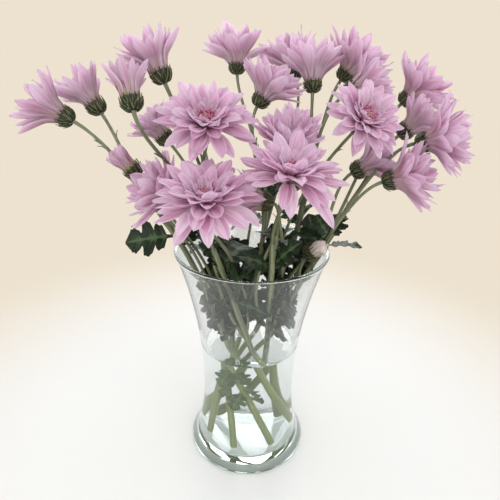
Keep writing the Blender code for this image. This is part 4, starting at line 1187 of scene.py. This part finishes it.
def extra_leaves(room, strands):
    """Shapes of filler leaves in the mouth and neck of the vase, kept off the glass and the water."""
    result = {s.name: [] for s in SPRAYS}
    stems = main_stems(strands)
    for number, spray in enumerate(SPRAYS):
        draw = random.Random(EXTRA_SEED + number)
        for kind in EXTRA_KINDS:
            found = 0
            for _ in range(EXTRA_TRIES):
                place = draw.uniform(kind.start, kind.end)
                turn = spray.azimuth + draw.uniform(-kind.fan, kind.fan)
                roll = draw.uniform(-LEAF_ROLL, LEAF_ROLL)
                leaf = Leaf(spray.name, place, turn, draw.uniform(*kind.lifts), draw.uniform(*kind.curls),
                            draw.uniform(*kind.sizes), roll)
                shape = grown(leaf, stems[spray.name])
                points, faces = leaf_shape(*shape, grow=LEAF_CLEAR)
                fits = max(p.xy.length for p in points) < LEAF_REACH and unit(turn).y > -LEAF_FRONT
                dry = min(p.z for p in points) > WATER_Z + LEAF_ABOVE_WATER
                if found < kind.count and fits and dry and room.is_clear(points, faces, only="vase"):
                    result[spray.name].append(shape)
                    found += 1
    for leaf in MORE_LEAVES:
        strand = next(s for s in strands if leaf.spray == (s["bloom"] or s["spray"]))
        result[strand["spray"]].append(grown(leaf, strand["points"]))
    return result


def fine_sprays(strands, leaves, extra, materials):
    """Stems, cups and leaves of each spray, each a piece that stands for the spray's node."""
    for number, spray in enumerate(SPRAYS):
        draw = random.Random(SPRAY_SEED + number)
        node = "spray_" + spray.name
        stems, cups, foliage = Batch(), Batch(), Batch()
        for strand in strands:
            if strand["spray"] == spray.name:
                fine_strand(stems, strand, draw)
        add_shoots(stems, spray.name, strands, draw)
        for bloom in BLOOMS:
            if bloom.spray == spray.name:
                fine_cup(cups, bloom, draw)
        for shape in leaves[spray.name] + extra[spray.name]:
            fine_leaf(foliage, shape, draw)
        stems.piece("stems_" + spray.name, [materials["stem"]], "green", node)
        cups.piece("cups_" + spray.name, [materials["bract"]], "green", node)
        foliage.piece("leaves_" + spray.name, [materials["leaf"]], "green", node)


def arc(middle_r, middle_z, radius, start, end, steps=7):
    """Points of an arc in a profile, from one angle to another."""
    turns = np.radians(np.linspace(start, end, steps))
    return [(middle_r + radius * math.cos(a), middle_z + radius * math.sin(a)) for a in turns]


def turned(name, profile, materials, slot, node):
    """Smooth piece turned from a profile of (radius, height) pairs, in place of a CAD node."""
    mesh = bpy.data.meshes.new(name)
    mesh.from_pydata([(r * MM, 0, z * MM) for r, z in profile],
                     [(i, i + 1) for i in range(len(profile) - 1)], [])
    rough = linked(name + "_profile", mesh)
    screw = rough.modifiers.new("turn", "SCREW")
    screw.steps = screw.render_steps = TURN_STEPS
    screw.use_merge_vertices = True
    screw.merge_threshold = 0.00001
    graph = bpy.context.evaluated_depsgraph_get()
    made = bpy.data.meshes.new_from_object(rough.evaluated_get(graph))
    bpy.data.objects.remove(rough)
    made.shade_smooth()
    made.set_sharp_from_angle(angle=math.radians(SHARP_GLASS))
    placed(name, made, materials, slot, node)


def fine_vase(material):
    """Glass vase with a beaded rim, a rounded foot and a hollow underside."""
    low_r = inner_radius(FLOOR_Z + CORNER_R)
    lip = WALL_TOP / 2
    inside = [(0, FLOOR_Z)] + arc(low_r - CORNER_R, FLOOR_Z + CORNER_R, CORNER_R, -90, 0)
    heights = np.linspace(FLOOR_Z + CORNER_R, VASE_H - lip, INSIDE_STEPS)
    inside += [(inner_radius(z), z) for z in heights[1:-1]]
    bead = RIM_BEAD
    rim = [(r, VASE_H - bead + bead * max(0.0, (z - VASE_H + bead) / bead) ** RIM_FLAT)
           for r, z in arc(RIM_R - lip, VASE_H - bead, bead, 180, 0, RIM_STEPS)]
    heights = np.linspace(VASE_H - lip, FOOT_EDGE, OUTSIDE_STEPS)
    outside = [(outer_radius(z), z) for z in heights[1:-1]]
    foot = arc(FOOT_R - FOOT_EDGE, FOOT_EDGE, FOOT_EDGE, 0, -90)
    foot += [(FOOT_R * r, UNDER_Z * z) for r, z in UNDERSIDE]
    turned("glass_vase", inside + rim + outside + foot, [material], "glass", "vase")


def fine_water(material):
    """Water up to the inside of the glass, its surface drawn up a little at the wall."""
    low_r = inner_radius(FLOOR_Z + CORNER_R) + WATER_BITE
    top_r = inner_radius(WATER_Z) + WATER_BITE
    surface = [(top_r * s, WATER_Z + MENISCUS * s ** MENISCUS_POWER)
               for s in np.linspace(0, 1, SURFACE_STEPS)]
    wall = [(inner_radius(z) + WATER_BITE, z)
            for z in np.linspace(WATER_Z, FLOOR_Z + CORNER_R, WALL_STEPS)]
    corner = arc(low_r - CORNER_R, FLOOR_Z + CORNER_R - WATER_BITE, CORNER_R, 0, -90)
    turned("still_water", surface + wall[1:] + corner[1:] + [(0, FLOOR_Z - WATER_BITE)],
           [material], "water", "water")


def make(tree, kind, inputs=None, **settings):
    """New node with its settings; an input that is a socket is linked."""
    made = tree.nodes.new("ShaderNode" + kind)
    for key, value in settings.items():
        setattr(made, key, value)
    for key, value in (inputs or {}).items():
        if isinstance(value, bpy.types.NodeSocket):
            tree.links.new(value, made.inputs[key])
        else:
            made.inputs[key].default_value = value
    return made


def mixed(tree, share, a, b):
    """Colour between two colours."""
    colours = {k: v if isinstance(v, bpy.types.NodeSocket) else (*v, 1) for k, v in ((6, a), (7, b))}
    return make(tree, "Mix", {0: share, **colours}, data_type="RGBA").outputs[2]


def ramp(tree, share, stops):
    """Colour ramp through (place, colour) stops."""
    made = make(tree, "ValToRGB", {0: share})
    elements = made.color_ramp.elements
    while len(elements) < len(stops):
        elements.new(0.5)
    for element, (place, colour) in zip(elements, stops):
        element.position = place
        element.color = (*colour, 1)
    return made.outputs[0]


def maths(tree, operation, *values):
    """Result of a math node."""
    return make(tree, "Math", dict(enumerate(values)), operation=operation).outputs[0]


def span(tree, value, low, high, to_low=0.0, to_high=1.0):
    """Value carried from one range to another, clamped."""
    inputs = {0: value, 1: low, 2: high, 3: to_low, 4: to_high}
    return make(tree, "MapRange", inputs, clamp=True).outputs[0]


def noise(tree, place, scale, detail=3.0):
    """Noise value at a place."""
    return make(tree, "TexNoise", {"Vector": place, "Scale": scale, "Detail": detail}).outputs[0]


def new_material(name):
    """New material, its node tree and its Principled shader."""
    material = bpy.data.materials.new(name)
    material.use_nodes = True
    return material, material.node_tree, material.node_tree.nodes["Principled BSDF"]


def plant_material(name):
    """New material with its node tree, Principled shader, and the blades' look and underside."""
    material, tree, shader = new_material(name)
    parts = make(tree, "SeparateXYZ", {0: make(tree, "Attribute", attribute_name="look").outputs[1]})
    under = make(tree, "Attribute", attribute_name="under").outputs[2]
    return material, tree, shader, parts.outputs, under


def surfaced(tree, shader, colour, roughness, shine=0.5):
    """Give a shader its colour, its roughness and its specular level."""
    tree.links.new(colour, shader.inputs["Base Color"])
    shader.inputs["Roughness"].default_value = roughness
    shader.inputs["Specular IOR Level"].default_value = shine


def blended(tree, share, one, two):
    """Material output that is a mix of two shaders' outputs."""
    both = make(tree, "MixShader", {0: share, 1: one, 2: two})
    tree.links.new(both.outputs[0], tree.nodes["Material Output"].inputs[0])


def off(tree, value, middle):
    """How far a value lies from a middle one."""
    return maths(tree, "ABSOLUTE", maths(tree, "SUBTRACT", value, middle))


def layered(tree, colour, *layers):
    """Colour with others over it, each by its own value carried from one range to another."""
    for *value_and_ranges, over in layers:
        colour = mixed(tree, span(tree, *value_and_ranges), colour, over)
    return colour


def wetted(tree, place, colour, depth, share, wet):
    """Colour that turns to a share of another over some millimetres below the water's surface."""
    height = make(tree, "SeparateXYZ", {0: place}).outputs[2]
    return layered(tree, colour, (height, WATER_Z * MM, (WATER_Z - depth) * MM, 0.0, share, wet))


def bumped(tree, shader, height, strength, distance):
    """Bump from a height, in metres."""
    bump = make(tree, "Bump", {"Height": height, "Strength": strength, "Distance": distance})
    tree.links.new(bump.outputs[0], shader.inputs["Normal"])


def let_through(tree, shader, colour, share):
    """Mix in light that comes through a thin blade."""
    thin = make(tree, "BsdfTranslucent", {"Color": colour})
    blended(tree, share, shader.outputs[0], thin.outputs[0])


def petal_material(name, petal):
    """Petal: deeper at its base, with long dark lines, painted shade along its grooves, a paler margin and a
    paler underside.
    """
    material, tree, shader, (across, share, tone), under = plant_material(name)
    shifted = maths(tree, "MULTIPLY", tone, 40.0)
    wide, fine = (noise(tree, make(tree, "CombineXYZ", {
        0: maths(tree, "MULTIPLY", across, lines), 1: maths(tree, "MULTIPLY", share, waves),
        2: shifted}).outputs[0], 1.0, 1.0) for lines, waves in PETAL_LINES)
    colour = mixed(tree, under, ramp(tree, share, petal.top), ramp(tree, share, petal.low))
    edge = off(tree, across, 0.5)
    # Darker colour along the two grooves: painted shade in the creases
    groove = span(tree, off(tree, edge, GROOVE_AT / 2), 0.0, 0.05, 0.9, 0.0)
    lines = maths(tree, "MAXIMUM", span(tree, wide, 0.51, 0.59, 0.0, 0.9),
                  span(tree, fine, 0.54, 0.64, 0.0, 0.7))
    dark = maths(tree, "MULTIPLY", maths(tree, "MAXIMUM", groove, lines),
                 span(tree, share, 0.1, 0.95, 0.68, 0.30))
    colour = layered(tree, mixed(tree, dark, colour, petal.streak),
                     (wide, 0.48, 0.40, 0.0, 0.65, petal.margin),
                     (edge, 0.36, 0.49, 0.0, 0.75, petal.margin),
                     (tone, 0.2, 1.0, 0.0, 0.65, petal.margin))
    surfaced(tree, shader, colour, 0.5, 0.4)
    bumped(tree, shader, maths(tree, "SUBTRACT", fine, dark), 0.7, 0.0006)
    let_through(tree, shader, colour, petal.through)
    return material


def disc_material():
    """Disc florets: yellowish brown in the middle, deep rose round it, with paler ends."""
    material, tree, shader, (_, share, tone), _ = plant_material("disc florets")
    colour = layered(tree, ramp(tree, tone, DISC_COLOURS),
                     (share, 0.62, 1.0, 0.0, 0.6, DISC_ENDS))
    surfaced(tree, shader, colour, 0.6)
    return material


def bract_material():
    """Bracts: dark green along the middle, with a thin paler margin and a brownish tip."""
    material, tree, shader, (across, share, tone), _ = plant_material("bract")
    place = make(tree, "TexCoord").outputs["Object"]
    fleck = noise(tree, place, 900.0)
    green = mixed(tree, fleck, *BRACT_GREENS)
    colour = layered(tree, green, (off(tree, across, 0.5), 0.33, 0.46, 0.0, 0.9, BRACT_MARGIN),
                     (share, 0.74, 1.0, 0.0, 0.7, BRACT_TIP), (tone, 0.1, 0.3, 0.7, 0.0, SHELL_GREEN))
    surfaced(tree, shader, colour, 0.5, 0.25)
    bumped(tree, shader, fleck, 0.3, 0.0002)
    return material


def stem_material():
    """Stems: olive green with painted highlights along the ribs and dark flecks, yellower under water."""
    material, tree, shader, (around, _, _), _ = plant_material("stem")
    place = make(tree, "TexCoord").outputs["Object"]
    stretched = make(tree, "Mapping", {"Vector": place, "Scale": (1.0, 1.0, 0.12)}).outputs[0]
    fleck = noise(tree, stretched, 700.0)
    wide = noise(tree, place, 40.0)
    colour = mixed(tree, span(tree, wide, 0.3, 0.7), *STEM_GREENS)
    # Paler colour on the rib crests: painted highlight
    ribs = maths(tree, "COSINE", maths(tree, "MULTIPLY", around, math.tau * RIB_COUNT))
    colour = layered(tree, colour, (ribs, 0.0, 1.0, 0.0, 0.45, STEM_RIB_HIGHLIGHT),
                     (fleck, 0.5, 0.75, 0.0, 0.45, STEM_FLECKS))
    surfaced(tree, shader, wetted(tree, place, colour, STEM_WET_DEPTH, 0.6, STEM_WET), 0.42)
    bumped(tree, shader, fleck, 0.4, 0.0003)
    return material


def leaf_material():
    """Leaves: dark green with pale veins, paler on their undersides and under water."""
    material, tree, shader, (_, _, vein), under = plant_material("leaf")
    place = make(tree, "TexCoord").outputs["Object"]
    mottle = noise(tree, place, 160.0, 5.0)
    fine = noise(tree, place, 1200.0)
    patches = span(tree, mottle, 0.3, 0.7)
    top, low = (mixed(tree, patches, *greens) for greens in (LEAF_GREENS, LEAF_LOW_GREENS))
    colour = layered(tree, mixed(tree, under, top, low), (vein, 0.35, 1.0, 0.0, 0.7, LEAF_VEINS))
    colour = wetted(tree, place, colour, LEAF_WET_DEPTH, 0.5, LEAF_WET)
    surfaced(tree, shader, colour, 0.42, 0.3)
    bumped(tree, shader, maths(tree, "SUBTRACT", fine, vein), 0.5, 0.0006)
    let_through(tree, shader, colour, 0.15)
    return material


def clear_material(name, ior, colour, absorbs, straight_after):
    """Clear glass or water that lamps shine through; thick glass takes some of the light, and the foot ring
    is tinted darker, partly as painted shade.
    """
    material, tree, shader = new_material(name)
    x, y, height = make(tree, "SeparateXYZ", {0: make(tree, "TexCoord").outputs["Object"]}).outputs
    wide = maths(tree, "POWER", maths(tree, "ADD", maths(tree, "MULTIPLY", x, x),
                                      maths(tree, "MULTIPLY", y, y)), 0.5)
    # Darker tint on the foot ring: partly the thick glass, partly painted shade for its dark reflections
    foot = maths(tree, "MULTIPLY", span(tree, height, FOOT_HIGH * MM, FOOT_LOW * MM),
                 span(tree, wide, FOOT_IN * MM, FOOT_OUT * MM))
    surfaced(tree, shader, mixed(tree, foot, colour, FOOT_SHADE_TINT), 0, CLEAR_SHINE)
    shader.inputs["Transmission Weight"].default_value = 1
    shader.inputs["IOR"].default_value = ior
    clear = make(tree, "BsdfTransparent", {"Color": (*CLEAR_TINT, 1)})
    path = make(tree, "LightPath")
    most = span(tree, height, STRAIGHT_LOW * MM, STRAIGHT_HIGH * MM, *straight_after)
    late = maths(tree, "GREATER_THAN", path.outputs["Ray Depth"], most)
    straight = maths(tree, "MAXIMUM", path.outputs["Is Shadow Ray"], late)
    blended(tree, straight, shader.outputs[0], clear.outputs[0])
    takes = make(tree, "VolumeAbsorption", {"Color": (*absorbs, 1), "Density": TAKES_DENSITY})
    tree.links.new(takes.outputs[0], tree.nodes["Material Output"].inputs[1])
    return material


def glowing(tree, colour):
    """Plain glow of the backdrop's cream to the camera, and of another colour to all else."""
    path = make(tree, "LightPath").outputs["Is Camera Ray"]
    return make(tree, "Emission", {"Color": mixed(tree, path, colour, CREAM), "Strength": 1.0}).outputs[0]


def floor_material():
    """Matt white near the vase, turning to the backdrop's plain cream further off."""
    material, tree, shader = new_material("floor")
    place = make(tree, "TexCoord").outputs["Object"]
    grain = mixed(tree, noise(tree, place, 60.0), FLOOR_WHITE, tuple(c * 0.98 for c in FLOOR_WHITE))
    surfaced(tree, shader, grain, 0.7)
    far = make(tree, "VectorMath", {0: place}, operation="LENGTH").outputs[1]
    fade = make(tree, "MapRange", {0: far, 1: FADE_START, 2: FADE_END}, interpolation_type="SMOOTHSTEP")
    blended(tree, fade.outputs[0], shader.outputs[0], glowing(tree, FLOOR_WHITE))
    return material


def plant_materials():
    """All materials of the plants by name."""
    return {"petal": petal_material("petal", PETAL_LOOK), "bud": petal_material("bud petal", BUD_LOOK),
            "disc": disc_material(), "bract": bract_material(), "stem": stem_material(),
            "leaf": leaf_material()}


def make_camera():
    """Camera where the photograph's was, worked out from the ellipses of the rim and the foot."""
    data = bpy.data.cameras.new("camera")
    data.lens, data.sensor_width = CAMERA_LENS, CAMERA_SENSOR
    data.clip_start = CAMERA_NEAR
    camera = linked("camera", data)
    tilt = Matrix.Rotation(math.radians(90 - CAMERA_PITCH), 4, "X")
    roll = Matrix.Rotation(math.radians(CAMERA_ROLL), 4, "Z")
    camera.matrix_world = Matrix.Translation(Vector(CAMERA_AT) * MM) @ tilt @ roll
    bpy.context.scene.camera = camera


def make_light(lamp):
    """Square soft light that looks at a point and that the camera doesn't see."""
    data = bpy.data.lights.new(lamp.name, "AREA")
    data.shape, data.size, data.energy, data.color = "SQUARE", lamp.size, lamp.power, lamp.colour
    light = linked(lamp.name, data)
    light.visible_camera = False
    light.location = lamp.at
    light.rotation_euler = (Vector(lamp.aim) - Vector(lamp.at)).to_track_quat("-Z", "Y").to_euler()


def make_studio():
    """Pale floor, soft world light and three soft lamps."""
    world = bpy.data.worlds.new("studio")
    bpy.context.scene.world = world
    world.use_nodes = True
    tree = world.node_tree
    sky = tuple(c * SKY_STRENGTH for c in SKY)
    tree.links.new(glowing(tree, sky), tree.nodes["World Output"].inputs[0])
    for lamp in LAMPS:
        make_light(lamp)
    mesh = bpy.data.meshes.new("floor")
    edge = FLOOR_HALF
    mesh.from_pydata([(-edge, -edge, 0), (edge, -edge, 0), (edge, edge, 0), (-edge, edge, 0)],
                     [], [(0, 1, 2, 3)])
    mesh.materials.append(floor_material())
    floor = linked("floor", mesh)
    floor.location.z = -FLOOR_UNDER
    bpy.context.scene.view_settings.view_transform = "Standard"


def main():
    """Lay the bouquet out as the part's source does, and dress it."""
    strands = plan_strands()
    room = fill_room(strands)
    petals = plan_petals(room)
    leaves = plan_leaves(room, strands)
    materials = plant_materials()
    fine_sprays(strands, leaves, extra_leaves(room, strands), materials)
    fine_blooms(petals, materials)
    fine_vase(clear_material("clear glass", 1.5, GLASS_TINT, GLASS_TAKES, GLASS_STRAIGHT))
    fine_water(clear_material("water", 1.33, WATER_TINT, WATER_TAKES, WATER_STRAIGHT))
    make_camera()
    make_studio()


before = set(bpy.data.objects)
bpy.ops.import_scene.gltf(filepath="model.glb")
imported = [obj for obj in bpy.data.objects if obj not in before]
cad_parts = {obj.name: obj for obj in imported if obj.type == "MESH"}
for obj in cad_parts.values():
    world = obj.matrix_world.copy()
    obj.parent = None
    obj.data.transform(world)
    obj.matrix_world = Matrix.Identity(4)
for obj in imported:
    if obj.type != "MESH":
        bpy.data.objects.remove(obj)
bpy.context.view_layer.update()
main()
